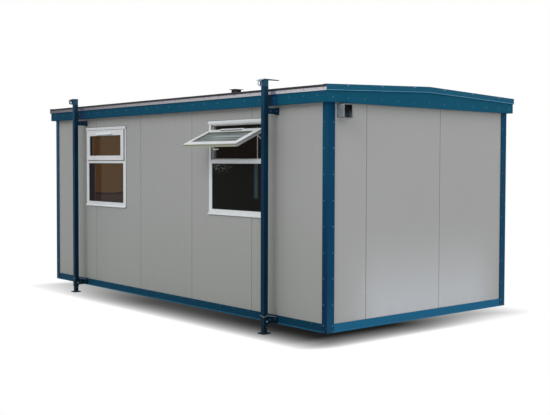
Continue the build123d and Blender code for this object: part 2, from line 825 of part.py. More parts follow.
def inner_leg():
    # Inner tube that slides in the sleeve, on its square foot, with the pin that carries the collar.
    tube = square_tube(inner_leg_side, leg_wall, foot_gauge, leg_top - inner_leg_drop)
    foot = block(-foot_side / 2, foot_side / 2, -foot_side / 2, foot_side / 2, 0, foot_gauge)
    foot = fillet(foot.edges().filter_by(Axis.Z), foot_radius)
    pin_level = leg_bottom - seat - collar_height - seat - pin_radius
    pin = Pos(0, 0, pin_level) * Rot(Y=90) * Cylinder(pin_radius, collar_side + 2 * pin_overhang)
    return tube + foot + pin


sleeves, upper_arms, lower_arms = [], [], []
for name, x, tongue, hole in (("near", near_leg, cap_tongue, eye_hole), ("far", far_leg, 0, far_eye_hole)):
    place = Pos(x, -leg_centre, 0)
    sleeves.append(place * leg_sleeve(tongue, hole))
    upper_arms.append(place * upper_bracket())
    lower_arms.append(place * lower_bracket())
    leg = place * inner_leg()
    nodes[f"{name}_front_inner_leg"] = leg
    nodes[f"{name}_back_inner_leg"] = mirrored_back(leg)
nodes["front_leg_sleeves"] = group(sleeves)
nodes["back_leg_sleeves"] = group([mirrored_back(piece) for piece in sleeves])
nodes["upper_leg_brackets"] = group(upper_arms + [mirrored_back(piece) for piece in upper_arms])
nodes["lower_leg_brackets"] = group(lower_arms + [mirrored_back(piece) for piece in lower_arms])

# --- Origin and output ----------------------------------------------------------------------

# The origin is at the bottom centre of the whole part's bounding box.
extent = group(nodes.values()).bounding_box()
centring = Pos(-extent.center().X, -extent.center().Y, -extent.min.Z)
os.makedirs("parts", exist_ok=True)
for name, piece in nodes.items():
    export_step(centring * piece, f"parts/{name}.step")
print("cabin centre moved by", [round(value, 3) for value in centring.position])
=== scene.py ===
import json
import math

import bmesh
import bpy
import numpy as np
from mathutils import Euler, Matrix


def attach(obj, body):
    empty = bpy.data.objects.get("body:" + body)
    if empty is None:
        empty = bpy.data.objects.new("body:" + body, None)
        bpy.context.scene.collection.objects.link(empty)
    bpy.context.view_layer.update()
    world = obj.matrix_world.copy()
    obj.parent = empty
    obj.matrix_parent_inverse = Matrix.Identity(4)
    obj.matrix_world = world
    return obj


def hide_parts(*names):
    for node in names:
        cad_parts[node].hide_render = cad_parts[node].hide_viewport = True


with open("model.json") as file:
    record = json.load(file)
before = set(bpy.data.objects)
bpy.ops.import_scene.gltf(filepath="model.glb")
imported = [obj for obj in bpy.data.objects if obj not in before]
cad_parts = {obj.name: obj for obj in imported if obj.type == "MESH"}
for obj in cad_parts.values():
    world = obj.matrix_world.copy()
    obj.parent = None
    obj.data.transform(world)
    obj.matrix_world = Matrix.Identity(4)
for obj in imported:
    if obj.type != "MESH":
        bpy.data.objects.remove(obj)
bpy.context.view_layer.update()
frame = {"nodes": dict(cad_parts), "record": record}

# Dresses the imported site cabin: camera, finishes, small fittings, floor and lights.
# Everything is in metres, X along the cabin, windows on the -Y side, ground at Z 0.
# Colours are display numbers from 0 to 255.

nodes = frame["nodes"]
scene = bpy.context.scene


def meshPoints(node):
    # Every vertex of a node as one array.
    mesh = nodes[node].data
    points = np.empty(len(mesh.vertices) * 3, np.float32)
    mesh.vertices.foreach_get("co", points)
    return points.reshape(-1, 3).astype(float)


def corners(node, *sides):
    # Lowest and highest corner of a node, or of its solids on the given sides of zero in X and Y.
    points = meshPoints(node)
    for axis, side in enumerate(sides):
        points = points[points[:, axis] * side > 0]
    return points.min(0), points.max(0)


print("places")
beamLow, beamHigh = corners("long_floor_beams")
deckLow, deckHigh = corners("floor_deck")
fasciaLow, fasciaHigh = corners("eave_fascias")
gableLow, gableHigh = corners("gable_fascias")
postLow, postHigh = corners("corner_flashings")
panelLow, panelHigh = corners("front_wall_panel_3")
endHigh = corners("near_end_wall")[1]
farEndLow = corners("far_end_wall")[0]
windows = [corners("left_window_frame"), corners("right_window_frame")]
fixedLow, fixedHigh = corners("fixed_glass")
soffit = fasciaLow[2]
cabinX, cabinY = (endHigh[0] + farEndLow[0]) / 2, (postLow[1] + postHigh[1]) / 2
backFace = 2 * cabinY - panelLow[1]
room, roomHalf = (deckLow + deckHigh) / 2, (deckHigh - deckLow) / 2
legX = [sum(corners(f"{end}_front_inner_leg"))[0] / 2 for end in ("near", "far")]

print("camera")
cameraSet = {"place": (10.0382, -8.015428, 1.8673), "azimuth": 48.735, "pitch": -2.015, "roll": 0.221,
             "lens": 60.245, "sensor": 36, "shift": (-0.04364, -0.01945)}
cameraData = bpy.data.cameras.new("camera")
cameraData.lens = cameraSet["lens"]
cameraData.sensor_width = cameraSet["sensor"]
cameraData.shift_x, cameraData.shift_y = cameraSet["shift"]
cameraData.clip_end = 200
camera = bpy.data.objects.new("camera", cameraData)
camera.location = cameraSet["place"]
turn = Euler((math.radians(90 + cameraSet["pitch"]), 0, math.radians(cameraSet["azimuth"]))).to_matrix()
camera.rotation_euler = (turn @ Euler((0, 0, math.radians(cameraSet["roll"]))).to_matrix()).to_euler()
scene.collection.objects.link(camera)
scene.camera = camera
scene.view_settings.view_transform = "Standard"


def linear(colour):
    # Display colour to the linear numbers of a shader.
    shares = np.array(colour) / 255
    low, high = shares / 12.92, ((shares + 0.055) / 1.055) ** 2.4
    return (*np.where(shares <= 0.04045, low, high).tolist(), 1.0)


class Signal:
    # One socket of a finish, so that shader maths is written as ordinary sums.
    __array_ufunc__ = None      # a numpy number leaves the sum to this class

    def __init__(self, finish, socket):
        self.finish, self.socket = finish, socket

    def maths(self, operation, *terms):
        return self.finish.node("ShaderNodeMath", {"operation": operation}, dict(enumerate(terms)))

    def __add__(self, other):
        return self.maths("ADD", self, other)

    def __sub__(self, other):
        return self.maths("SUBTRACT", self, other)

    def __rsub__(self, other):
        return self.maths("SUBTRACT", other, self)

    def __mul__(self, other):
        return self.maths("MULTIPLY", self, other)

    def __pow__(self, other):
        return self.maths("POWER", self, other)

    __radd__, __rmul__ = __add__, __mul__

    def size(self):
        return self.maths("ABSOLUTE", self)

    def least(self, other):
        return self.maths("MINIMUM", self, other)

    def most(self, other):
        return self.maths("MAXIMUM", self, other)

    def rise(self, low, high):
        # 0 below low, 1 above high, smooth between; falls where low is the larger.
        ends = (1.0, 0.0) if low > high else (0.0, 1.0)
        return self.finish.node("ShaderNodeMapRange", {"interpolation_type": "SMOOTHSTEP"}, {
            "Value": self, "From Min": min(low, high), "From Max": max(low, high),
            "To Min": ends[0], "To Max": ends[1]})

    def between(self, start, full, still, end):
        # Rises from start to full and falls from still to end.
        return self.rise(start, full) * self.rise(end, still)

    def near(self, middle, full, end):
        # 1 within full of the middle, 0 beyond end.
        return (self - middle).size().rise(end, full)


class Finish:
    # The node board of a new material, or of the world, and the calls that put nodes on it.
    def __init__(self, name, owner=None):
        self.owner = owner or bpy.data.materials.new(name)
        self.owner.use_nodes = True
        self.board = self.owner.node_tree
        self.board.nodes.clear()

    def node(self, kind, settings=None, values=None, give=0):
        made = self.board.nodes.new(kind)
        for key, value in (settings or {}).items():
            setattr(made, key, value)
        for key, value in (values or {}).items():
            if isinstance(value, Signal):
                self.board.links.new(value.socket, made.inputs[key])
            else:
                made.inputs[key].default_value = value
        return Signal(self, made.outputs[give])

    def split(self, vector):
        return [self.node("ShaderNodeSeparateXYZ", None, {0: vector}, give) for give in range(3)]

    def place(self, stretch=(1.0, 1.0, 1.0)):
        # Object place, squeezed or drawn out along each axis.
        place = self.node("ShaderNodeTexCoord", give="Object")
        return self.node("ShaderNodeVectorMath", {"operation": "MULTIPLY"}, {0: place, 1: stretch})

    def axes(self):
        return self.split(self.place())

    def facing(self):
        return self.split(self.node("ShaderNodeNewGeometry", give="Normal"))

    def noise(self, scale, detail=3.0, roughness=0.5, stretch=(1.0, 1.0, 1.0), distortion=0.0):
        return self.node("ShaderNodeTexNoise", None, {
            "Vector": self.place(stretch), "Scale": scale, "Detail": detail, "Roughness": roughness,
            "Distortion": distortion})

    def cells(self, scale, give="Distance", stretch=(1.0, 1.0, 1.0)):
        return self.node("ShaderNodeTexVoronoi", None, {"Vector": self.place(stretch), "Scale": scale}, give)

    def grains(self, scale):
        # A chance number for each cell.
        return self.node("ShaderNodeSeparateColor", None, {0: self.cells(scale, "Color")})

    def mix(self, share, first, second):
        first, second = (linear(tone) if isinstance(tone, tuple) else tone for tone in (first, second))
        return self.node("ShaderNodeMix", {"data_type": "RGBA"}, {0: share, 6: first, 7: second}, 2)

    def layered(self, tone, layers):
        # Each layer, a share and a colour, lies over the ones before it.
        for share, colour in layers:
            tone = self.mix(share, tone, colour)
        return tone

    def bump(self, height, distance, strength=1.0, under=None):
        values = {"Height": height, "Distance": distance, "Strength": strength}
        return self.node("ShaderNodeBump", None, values if under is None else values | {"Normal": under})

    def plainRays(self):
        # 1 for what the camera sees, straight, mirrored or through glass.
        rays = [self.node("ShaderNodeLightPath", give=f"Is {kind} Ray")
                for kind in ("Camera", "Glossy", "Transmission")]
        return (rays[0] + rays[1] + rays[2]).least(1.0)

    def finished(self, surface, output="ShaderNodeOutputMaterial"):
        self.board.links.new(surface.socket, self.board.nodes.new(output).inputs["Surface"])
        return self.owner

    def coat(self, **values):
        named = {key.replace("_", " ").title().replace("Ior", "IOR"): value for key, value in values.items()}
        return self.finished(self.node("ShaderNodeBsdfPrincipled", None, named))


print("finishes")
# Some of these colours are painted: the darker low, far and leg-side tones and part of the grime are painted
# shade; the paler foot and the room-side glow are painted light.
wallSet = {"colour": (154, 155, 153), "grimeAndShade": (98, 96, 84), "shade": (148, 149, 147),
           "paintedFootLight": (178, 181, 185), "low": (134, 137, 131), "far": (138, 140, 138),
           "beside": (110, 112, 108), "inside": (20, 16, 15), "roughness": 0.42, "eaveReach": 0.16,
           "besideLeg": 0.09}


def wallFinish():
    # Plastisol coat: fine leather grain, slow waves in the sheet, faint rain streaks and mud splashed low.
    # Painted
    # shade: grime mixed with shade under the eaves, soft shadows beside the legs, darker low on the long walls
    # and
    # towards the far end. Painted light: a paler foot on the ends and a faint brown glow on the faces towards
    # the room.
    finish = Finish("wallCoating")
    x, y, z = finish.axes()
    across, along = (signal.size() for signal in finish.facing()[:2])
    streak = finish.noise(1.0, 4.0, 0.6, (22.0, 22.0, 0.9))
    splash = z.rise(0.42, 0.16) * finish.noise(9.0, 5.0, 0.65).rise(0.35, 0.8)
    # Painted shade under the eaves, mixed with grime along the rain streaks.
    under = z.rise(soffit - wallSet["eaveReach"], soffit) * (0.55 + 0.45 * streak)
    under *= 0.05 + along * (0.25 + 0.24 * x.rise(2.2, 0.5))
    # Painted soft shadow on the wall beside each leg.
    beside = sum(x.near(leg - wallSet["besideLeg"], 0.04, 0.3) for leg in legX)
    # Faces towards the room glow faint brown: painted light.
    inside = (y.near(room[1], roomHalf[1], roomHalf[1] + 0.004)
              * x.near(room[0], roomHalf[0], roomHalf[0] + 0.004))
    colour = finish.layered(wallSet["colour"], [
        (finish.noise(0.7, 2.0).rise(0.3, 0.7) * 0.25, wallSet["shade"]),
        # Painted shade: darker low on the long walls and towards the far end.
        (along * z.rise(1.7, 0.4) * 0.4, wallSet["low"]),
        (along * x.rise(1.6, -2.2) * 0.65, wallSet["far"]),
        (along * beside * 0.43, wallSet["beside"]),
        # Painted light: paler low on the end walls.
        (across * z.rise(1.3, 0.0) * y.between(-1.35, -0.6, 0.9, 1.6), wallSet["paintedFootLight"]),
        (streak.rise(0.55, 0.9) * 0.05 + under + splash * 0.12, wallSet["grimeAndShade"])])
    grain = finish.noise(900.0, 2.0)
    wave = finish.noise(1.6, 1.0, 0.4)
    return finish.coat(base_color=colour,
                       roughness=wallSet["roughness"] + 0.10 * streak.rise(0.4, 0.9) + 0.08 * grain,
                       normal=finish.bump(wave, 0.004, 0.3, finish.bump(grain, 0.0002, 0.5)),
                       specular_ior_level=0.3, emission_strength=1.0,
                       emission_color=finish.mix(inside, (0, 0, 0), wallSet["inside"]))


wornSet = {"scratch": (96, 118, 132), "dust": (120, 124, 122), "mud": (82, 80, 72)}


def steelPaint(name, colour, faded, roughness, paintedShadeAndWear=lambda finish: []):
    # Painted steel: slow tone changes, chalky streaks, small scratches, dust on upward faces and mud low down.
    # Shades give painted light and shade by place, with some wear on the legs, as pairs of a share and a
    # colour.
    finish = Finish(name)
    broad = finish.noise(2.2, 3.0)
    streak = finish.noise(1.0, 5.0, 0.65, (40.0, 40.0, 1.6))
    speck = finish.noise(90.0, 4.0, 0.7)
    scratch = finish.noise(1.0, 2.0, 0.5, (14.0, 14.0, 260.0))
    dust = finish.facing()[2].rise(0.4, 1.0) * finish.noise(14.0, 4.0).rise(0.3, 0.7)
    worn = speck.rise(0.70, 0.78) * 0.35 + scratch.rise(0.72, 0.8) * 0.2
    fade = broad.rise(0.3, 0.7) * 0.5 + streak.rise(0.5, 0.8) * 0.3
    mud = finish.axes()[2].rise(0.35, 0.0) * speck.rise(0.45, 0.65)
    tone = finish.layered(colour, [(fade, faded), *paintedShadeAndWear(finish), (worn, wornSet["scratch"]),
                                   (dust * 0.16, wornSet["dust"]), (mud * 0.2, wornSet["mud"])])
    normal = finish.bump(finish.noise(6.0, 2.0), 0.002, 0.25, finish.bump(speck, 0.0004, 0.4))
    return finish.coat(base_color=tone, roughness=roughness + 0.14 * streak + 0.15 * dust + 0.1 * worn,
                       normal=normal, specular_ior_level=0.06)


# Where a soft shadow starts, is full, is still full and ends, from the middle of the near and of the far leg.
shadowSet = {"eave": ((-0.03, -0.01, 0.07, 0.10), (-0.07, -0.05, 0.05, 0.09)),
             "core": ((-0.12, -0.11, -0.03, -0.01), (-0.14, -0.13, -0.07, -0.05)),
             "drip": ((-0.03, -0.01, 0.05, 0.08), (-0.07, -0.05, 0.04, 0.07))}


def besideLegs(finish, kind):
    # Painted shadow bands beside the near and the far leg.
    x = finish.axes()[0]
    return sum(x.between(*(leg + step for step in steps)) for leg, steps in zip(legX, shadowSet[kind]))


def eavePaintedShade(finish):
    # Painted shade: deeper towards the far end, with a painted blue shadow and a dark shadow core beside each
    # leg.
    front = finish.facing()[1].rise(-0.3, -0.8)
    return [(finish.axes()[0].rise(2.2, -3.0) * 0.9, (0, 54, 78)),
            (front * besideLegs(finish, "eave") * 0.7, (0, 44, 86)),
            (front * besideLegs(finish, "core") * 0.8, (18, 26, 34))]


def postPaintedShade(finish):
    # Painted shade and light: the long leaf darkens downwards, the end leaf stays a deeper blue with a paler
    # foot.
    z = finish.axes()[2]
    across, along = (signal.size() for signal in finish.facing()[:2])
    return [(along * z.rise(2.3, 0.3), (0, 40, 68)), (across * 0.5, (0, 50, 82)),
            (across * z.rise(0.55, 0.2) * 0.25, (24, 84, 112))]


def beamPaintedLightAndShade(finish):
    # Painted light and shade: the long beams are dark, deeper towards the near end, above a paler lower lip
    # that is a painted highlight; the end beams paler all over.
    x, y, z = finish.axes()
    across, along = (signal.size() for signal in finish.facing()[:2])
    return [(along, (0, 60, 84)), (along * x.rise(-1.0, 2.6), (0, 52, 74)), (across * 0.9, (26, 96, 132)),
            (z.rise(beamLow[2] + 0.014, beamLow[2] + 0.008) * 0.6, (30, 106, 140))]


def legLightShadeAndWear(finish):
    # Painted light and shade: paler near the head and in a band at the head, darker low down, darkest at the
    # collar and the inner tube, darker up high on the faces towards the ends; the eyes of the near legs worn
    # pale.
    x, y, z = finish.axes()
    reach = cabinY - corners("front_leg_sleeves")[0][1] - 0.056
    eye = (y - cabinY).size().rise(reach, reach + 0.004) * z.rise(2.70, 2.71) * x.rise(1.0, 1.1)
    return [(z.rise(1.9, 0.9) * 0.5, (0, 28, 46)), (z.rise(0.25, 0.19), (0, 30, 44)),
            (z.rise(2.3, 2.7) * 0.5, (30, 76, 100)),
            (finish.facing()[0].size() * z.rise(1.9, 2.3) * 0.5, (0, 22, 42)),
            (z.between(2.705, 2.725, 2.789, 2.795) * 0.7, (48, 88, 110)), (eye * 0.8, (168, 184, 196))]


zincSet = {"bloom": (196, 198, 200), "farShadeTone": (62, 62, 68)}


def galvanisedFinish(name, pale, dark, roughness, sheen, farShade=0.0, paintedShadeAndWear=lambda finish: []):
    # Zinc spangle in cells of mixed brightness, white bloom and faint run marks, and painted shade that
    # darkens it towards the far end.
    finish = Finish(name)
    spangle, small = finish.grains(70.0), finish.grains(190.0)
    bloom = finish.noise(16.0, 5.0, 0.65).rise(0.45, 0.75)
    run = finish.noise(1.0, 4.0, 0.6, (60.0, 60.0, 4.0)).rise(0.5, 0.8)
    far = (0.45 - finish.axes()[0] * (1 / 6)).most(0.0).least(1.0)
    tone = finish.layered(finish.mix(spangle * 0.6 + small * 0.4, dark, pale), [
        (bloom * 0.4 + run * 0.2, zincSet["bloom"]), (far * farShade, zincSet["farShadeTone"]), *paintedShadeAndWear(finish)])
    return finish.coat(base_color=tone, roughness=roughness + 0.18 * spangle + 0.2 * bloom,
                       metallic=sheen * (1.0 - 0.45 * bloom),
                       normal=finish.bump(spangle + small * 0.5, 0.0003, 0.4))


def dripPaintedShadow(finish):
    # Painted blue-grey shadow beside each leg.
    return [(besideLegs(finish, "drip") * 0.75, (66, 84, 108))]


def ductPaintedShade(finish):
    # Painted shade: nearly black inside the ventilation box, with a paler painted lit patch low on the inner
    # wall.
    y, z = finish.axes()[1:]
    low, high = corners("inlet_box")
    (middleY, middleZ), (halfY, halfZ) = ((low + high) / 2)[1:], ((high - low) / 2 - 0.0035)[1:]
    depth = y.near(middleY, halfY, halfY + 0.0004) * z.near(middleZ, halfZ, halfZ + 0.0004)
    patch = z.rise(middleZ + 0.03, middleZ - 0.04) * y.rise(middleY, high[1] - 0.02)
    return [(depth, (20, 22, 20)), (depth * patch * 0.9, (104, 118, 126))]


def feltFinish():
    # Mineral felt: grit of dark and paler grains, weathered patches.
    finish = Finish("roofFelt")
    grain = finish.grains(420.0)
    patch = finish.noise(2.5, 5.0, 0.6).rise(0.4, 0.7)
    tone = finish.layered((22, 20, 26), [(grain.rise(0.5, 1.0) * 0.7, (52, 50, 56)),
                                         (patch * 0.25, (70, 68, 66))])
    return finish.coat(base_color=tone, roughness=0.85 + 0.1 * grain,
                       normal=finish.bump(finish.cells(420.0), 0.0012, 0.8))


def upvcFinish():
    # White window plastic with faint rain marks and soft patches. Painted light and shade: paler on the near
    # window and on faces that look up, an olive painted shade and reflection on faces that look down, and
    # painted shade on faces towards the vent end.
    finish = Finish("windowPlastic")
    streak = finish.noise(1.0, 4.0, 0.6, (55.0, 55.0, 5.0)).rise(0.5, 0.85)
    patch = finish.noise(5.0, 4.0, 0.6).rise(0.45, 0.75)
    across, along, up = finish.facing()
    tone = finish.layered((200, 203, 205), [
        (patch * 0.35, (192, 194, 197)), (finish.axes()[0].rise(-0.2, 0.2) * 0.4, (222, 228, 228)),
        (up.rise(0.1, 0.6) * 0.7, (244, 245, 250)), (up.rise(-0.15, -0.4) * 0.85, (140, 146, 112)),
        (across.rise(0.5, 0.9) * 0.6, (108, 112, 100)), (streak * 0.16, (150, 148, 136))])
    return finish.coat(base_color=tone, roughness=0.28 + 0.2 * streak + 0.08 * patch,
                       normal=finish.bump(finish.noise(120.0, 2.0), 0.0002, 0.3))


glassSet = {"clear": (14, 15, 11), "warm": (80, 60, 38), "red": (72, 48, 30), "edge": (2, 6, 10),
            "skirt": (48, 40, 39), "leafReflection": (124, 130, 122), "streak": (56, 74, 78), "tilted": (96, 106, 104),
            "bright": (160, 170, 172), "roughness": 0.03, "bite": 0.010, "strip": (0.118, 0.096),
            "redEnd": (0.40, 0.34), "foot": (0.150, 0.130), "footEdge": (0.105, 0.130),
            "pale": (3.84, 3.86, 3.90, 3.93), "tiltFrom": 0.02}


def glassFinish():
    # Sealed glass before a dark room, toned with painted light and reflections: a painted brown glow from
    # inside at the far window with a painted dark strip along one side and a darker foot, near black at the
    # near one with painted reflections of faint leaves and a pale streak, painted grey streaks of reflection
    # on the tilted pane.
    finish = Finish("windowGlass")
    x, y, z = finish.axes()
    fromEdge, transom = x - (fixedLow[0] + glassSet["bite"]), fixedHigh[2]
    far = x.rise(0.2, -0.2)
    strip = (fromEdge - z.rise(transom + 0.03, transom + 0.02) * 0.043).rise(*glassSet["strip"])
    rise = z - fixedLow[2] - (fromEdge - 0.45).most(0.0) ** 2.0 * 0.12
    foot = rise.rise(*glassSet["foot"]) * far
    leafReflection = finish.noise(40.0, 4.0, 0.7).rise(0.50, 0.60) * z.rise(transom - 0.15, transom - 0.04)
    pale = fromEdge.between(*glassSet["pale"]) * z.rise(transom - 0.43, transom - 0.38)
    tilted = (fixedLow[1] - y).rise(glassSet["tiltFrom"], glassSet["tiltFrom"] + 0.01)
    band = finish.noise(1.0, 3.0, 0.6, (1.2, 24.0, 24.0)).rise(0.42, 0.7)
    tone = finish.layered(glassSet["clear"], [
        (leafReflection * x.rise(1.42, 1.16) * 0.7, glassSet["leafReflection"]), (pale * 0.7, glassSet["streak"]),
        (far, finish.mix(fromEdge.rise(*glassSet["redEnd"]) * 0.6, glassSet["warm"], glassSet["red"])),
        (foot * 0.8, glassSet["skirt"]), (foot * rise.rise(*glassSet["footEdge"]) * 0.5, glassSet["edge"]),
        (strip * far, glassSet["edge"]),
        (tilted, finish.mix(band * 0.8, glassSet["tilted"], glassSet["bright"]))])
    film = finish.noise(3.0, 4.0, 0.6).rise(0.5, 0.8)
    return finish.coat(base_color=tone, roughness=glassSet["roughness"] + 0.05 * film,
                       normal=finish.bump(finish.noise(2.2, 1.0), 0.002, 0.1), specular_ior_level=0.03,
                       coat_weight=tilted * 0.5, coat_ior=1.5, coat_roughness=0.04)


def timberFinish(name, pale, dark, stretch):
    # Plywood: long grain lines bent by slow noise, with darker knots.
    finish = Finish(name)
    grain = finish.noise(1.6, 6.0, 0.6, stretch, 0.6)
    knot = finish.cells(1.6, stretch=stretch).rise(0.12, 0.04)
    tone = finish.layered(pale, [(grain.rise(0.3, 0.7), dark), (knot * 0.5, (72, 48, 28))])
    return finish.coat(base_color=tone, roughness=0.62 + 0.2 * grain, normal=finish.bump(grain, 0.0006, 0.5))


def fittingFinish(name, pale, dark, roughness, metallic):
    # Steel, plastic or rubber fitting with brushed lines, finger marks and dull spots.
    finish = Finish(name)
    lines = finish.noise(1.0, 3.0, 0.6, (30.0, 30.0, 900.0))
    spots = finish.noise(60.0, 4.0, 0.6).rise(0.45, 0.75)
    tone = finish.mix(spots * 0.6 + lines * 0.3, pale, dark)
    return finish.coat(base_color=tone, roughness=roughness + 0.15 * lines + 0.2 * spots, metallic=metallic,
                       normal=finish.bump(lines, 0.0002, 0.3))


def innerFinish():
    # White cover strip in the dim room with scuffs; its emission is a painted glow, as if lit from the door
    # side.
    finish = Finish("innerTrim")
    scuff = finish.noise(9.0, 4.0, 0.6).rise(0.45, 0.75)
    glow = finish.mix(scuff * 0.4, (126, 130, 134), (96, 98, 100))
    return finish.coat(base_color=finish.mix(scuff * 0.5, (206, 208, 210), (170, 170, 168)),
                       roughness=0.45 + 0.2 * scuff, emission_color=glow, emission_strength=1.0)


# Each row: pale or main colour, second colour, roughness and what else its function takes.
finishSet = {
    steelPaint: {
        "blue_paint": ((20, 82, 107), (28, 86, 110), 0.36), "door_paint": ((20, 80, 106), (30, 86, 110), 0.4),
        "leg_paint": ((0, 38, 60), (8, 44, 66), 0.34, legLightShadeAndWear),
        "eavePaint": ((10, 76, 100), (16, 80, 104), 0.56, eavePaintedShade),
        "postPaint": ((0, 62, 92), (10, 70, 96), 0.36, postPaintedShade),
        "beamPaint": ((10, 64, 88), (20, 74, 98), 0.56, beamPaintedLightAndShade),
        "wornPaint": ((84, 142, 180), (112, 158, 186), 0.45)},
    galvanisedFinish: {
        "galvanised": ((128, 146, 160), (86, 100, 112), 0.42, 0.6),
        "drip": ((214, 212, 218), (176, 172, 180), 0.5, 0.4, 0.9, dripPaintedShadow),
        "inlet": ((140, 148, 152), (92, 104, 110), 0.5, 0.3, 0.0, ductPaintedShade),
        "paleZinc": ((178, 182, 184), (150, 156, 160), 0.5, 0.2)},
    timberFinish: {
        "roof_timber": ((186, 158, 118), (150, 120, 82), (1.2, 26.0, 26.0)),
        "deck": ((150, 124, 90), (112, 86, 58), (26.0, 1.2, 26.0))},
    fittingFinish: {
        "steel_fitting": ((190, 192, 194), (128, 130, 132), 0.3, 1.0),
        "dullSteel": ((110, 134, 156), (66, 90, 112), 0.45, 0.3),
        "darkSteel": ((70, 66, 80), (46, 44, 54), 0.45, 0.4),
        "wornSteel": ((150, 160, 168), (84, 98, 110), 0.4, 0.5),
        "legBolt": ((22, 52, 74), (10, 38, 56), 0.4, 0.1),
        "paleScrew": ((150, 180, 196), (104, 142, 162), 0.4, 0.2),
        "rivetPaint": ((70, 118, 138), (40, 92, 116), 0.35, 0.2),
        "vent_plastic": ((34, 42, 50), (20, 24, 28), 0.45, 0.0),
        "rubber": ((38, 40, 44), (22, 24, 27), 0.6, 0.0),
        "ventWhite": ((226, 230, 238), (210, 214, 220), 0.4, 0.0),
        "grille": ((146, 147, 138), (116, 116, 106), 0.5, 0.0),
        "sealant": ((92, 94, 86), (64, 66, 60), 0.6, 0.0), "mastic": ((70, 70, 66), (46, 46, 44), 0.7, 0.0),
        "paleSealant": ((186, 186, 188), (160, 160, 160), 0.6, 0.0)}}
finishes = {"wall_coating": wallFinish(), "felt": feltFinish(), "upvc": upvcFinish(), "glass": glassFinish(),
            "innerTrim": innerFinish()}
for makeFinish, rows in finishSet.items():
    for name, row in rows.items():
        finishes[name] = makeFinish(name, *row)
slotOf = {entry["node"]: entry["material_slot"] for entry in frame["record"]["subparts"]}
ownFinish = {"eave_drips": "drip", "corner_flashings": "postPaint", "long_floor_beams": "beamPaint",
             "end_floor_beams": "beamPaint", "eave_fascias": "eavePaint", "gable_fascias": "eavePaint",
             "inlet_box": "inlet", "trickle_vents": "ventWhite"}
for name, thing in nodes.items():
    thing.data.materials.clear()
    thing.data.materials.append(finishes[ownFinish.get(name, slotOf[name])])

print("shape tools")


class Shape:
    # Points with their four-sided and three-sided faces, all kept as whole arrays.
    def __init__(self, points, quads, fans=np.empty((0, 3), int)):
        self.points, self.quads, self.fans = points, quads, fans

    def placed(self, offset=(0, 0, 0), turn=np.eye(3)):
        return Shape(self.points @ np.asarray(turn, float).T + offset, self.quads, self.fans)

    def spread(self, offsets):
        # The same shape at every offset.
        offsets = np.asarray(offsets, float).reshape(-1, 3)
        steps = np.arange(len(offsets))[:, None, None] * len(self.points)
        return Shape((self.points[None] + offsets[:, None]).reshape(-1, 3),
                     (self.quads[None] + steps).reshape(-1, 4), (self.fans[None] + steps).reshape(-1, 3))

    def __add__(self, other):
        count = len(self.points)
        return Shape(np.concatenate([self.points, other.points]),
                     np.concatenate([self.quads, other.quads + count]),
                     np.concatenate([self.fans, other.fans + count]))


def joined(shapes):
    # One shape of many.
    return sum(shapes[1:], shapes[0])


def gridShape(grid, loop=False):
    # Rows of closed sections: neighbours are joined by quads, a loop joins the last row to the first,
    # and otherwise each end is closed by a fan to the middle of its row.
    rows, columns = grid.shape[:2]
    index = np.arange(rows * columns).reshape(rows, columns)
    below, above = (index, np.roll(index, -1, 0)) if loop else (index[:-1], index[1:])
    quads = np.stack([below, np.roll(below, -1, 1), np.roll(above, -1, 1), above], -1).reshape(-1, 4)
    points = grid.reshape(-1, 3)
    if loop:
        return Shape(points, quads)
    ends = np.concatenate([points, grid[[0, -1]].mean(1)])
    first = np.stack([np.roll(index[0], -1), index[0], np.full(columns, len(points))], -1)
    last = np.stack([index[-1], np.roll(index[-1], -1), np.full(columns, len(points) + 1)], -1)
    return Shape(ends, quads, np.concatenate([first, last]))


def raised(flat, level):
    # Flat points with their heights.
    return np.concatenate([flat, np.broadcast_to(level, flat.shape[:-1])[..., None]], -1)


def roundSection(radius, sides=10):
    # Circle: radius times (cos a, sin a).
    angle = np.arange(sides) * 2 * math.pi / sides
    return radius * np.stack([np.cos(angle), np.sin(angle)], -1)


def turnedShape(profile, sides=14):
    # Turned about Z: a profile point (r, h) becomes (r cos a, r sin a, h) at equal steps of the angle a.
    radius, height = np.asarray(profile, float).T
    return gridShape(raised(radius[:, None, None] * roundSection(1.0, sides), height[:, None]))


def ringShape(radius, wire, steps=22, sides=8):
    # Closed ring about Z: ((radius + wire cos b) cos a, (radius + wire cos b) sin a, wire sin b).
    reach, level = (roundSection(wire, sides) + (radius, 0)).T
    return gridShape(raised(roundSection(1.0, steps)[:, None] * reach[:, None], level), loop=True)


def cornerRing(halfWidth, halfHeight, corner, steps):
    # Corner centres of a rounded rectangle, each repeated, and the directions (cos a, sin a) round them.
    angle = (np.arange(4)[:, None] * 90 + np.linspace(0, 90, steps)).ravel() * math.pi / 180
    signs = np.repeat([[1, 1], [-1, 1], [-1, -1], [1, -1]], steps, 0)
    return signs * [halfWidth - corner, halfHeight - corner], np.stack([np.cos(angle), np.sin(angle)], -1)


def framedShape(section, halfWidth, halfHeight, corner=0.001, steps=3):
    # Section points (out, up) carried round a rounded rectangle in XY: at angle a a point is the corner's
    # centre plus (corner + out) times (cos a, sin a), at height up.
    out, up = np.asarray(section, float).T
    centre, ring = cornerRing(halfWidth, halfHeight, corner, steps)
    return gridShape(raised(centre[:, None] + ring[:, None] * (corner + out)[:, None], up), loop=True)


def padShape(halfWidth, halfHeight, corner, height, edge):
    # Rounded slab: a rounded rectangle at height 0 and up to the edge, drawn in by edge at the top.
    centre, ring = cornerRing(halfWidth, halfHeight, corner, 5)
    drawn, level = np.array([(0, 0), (0, height - edge), (edge * 0.3, height - edge * 0.3), (edge, height)]).T
    return gridShape(raised(centre + ring * (corner - drawn)[:, None, None], level[:, None]))


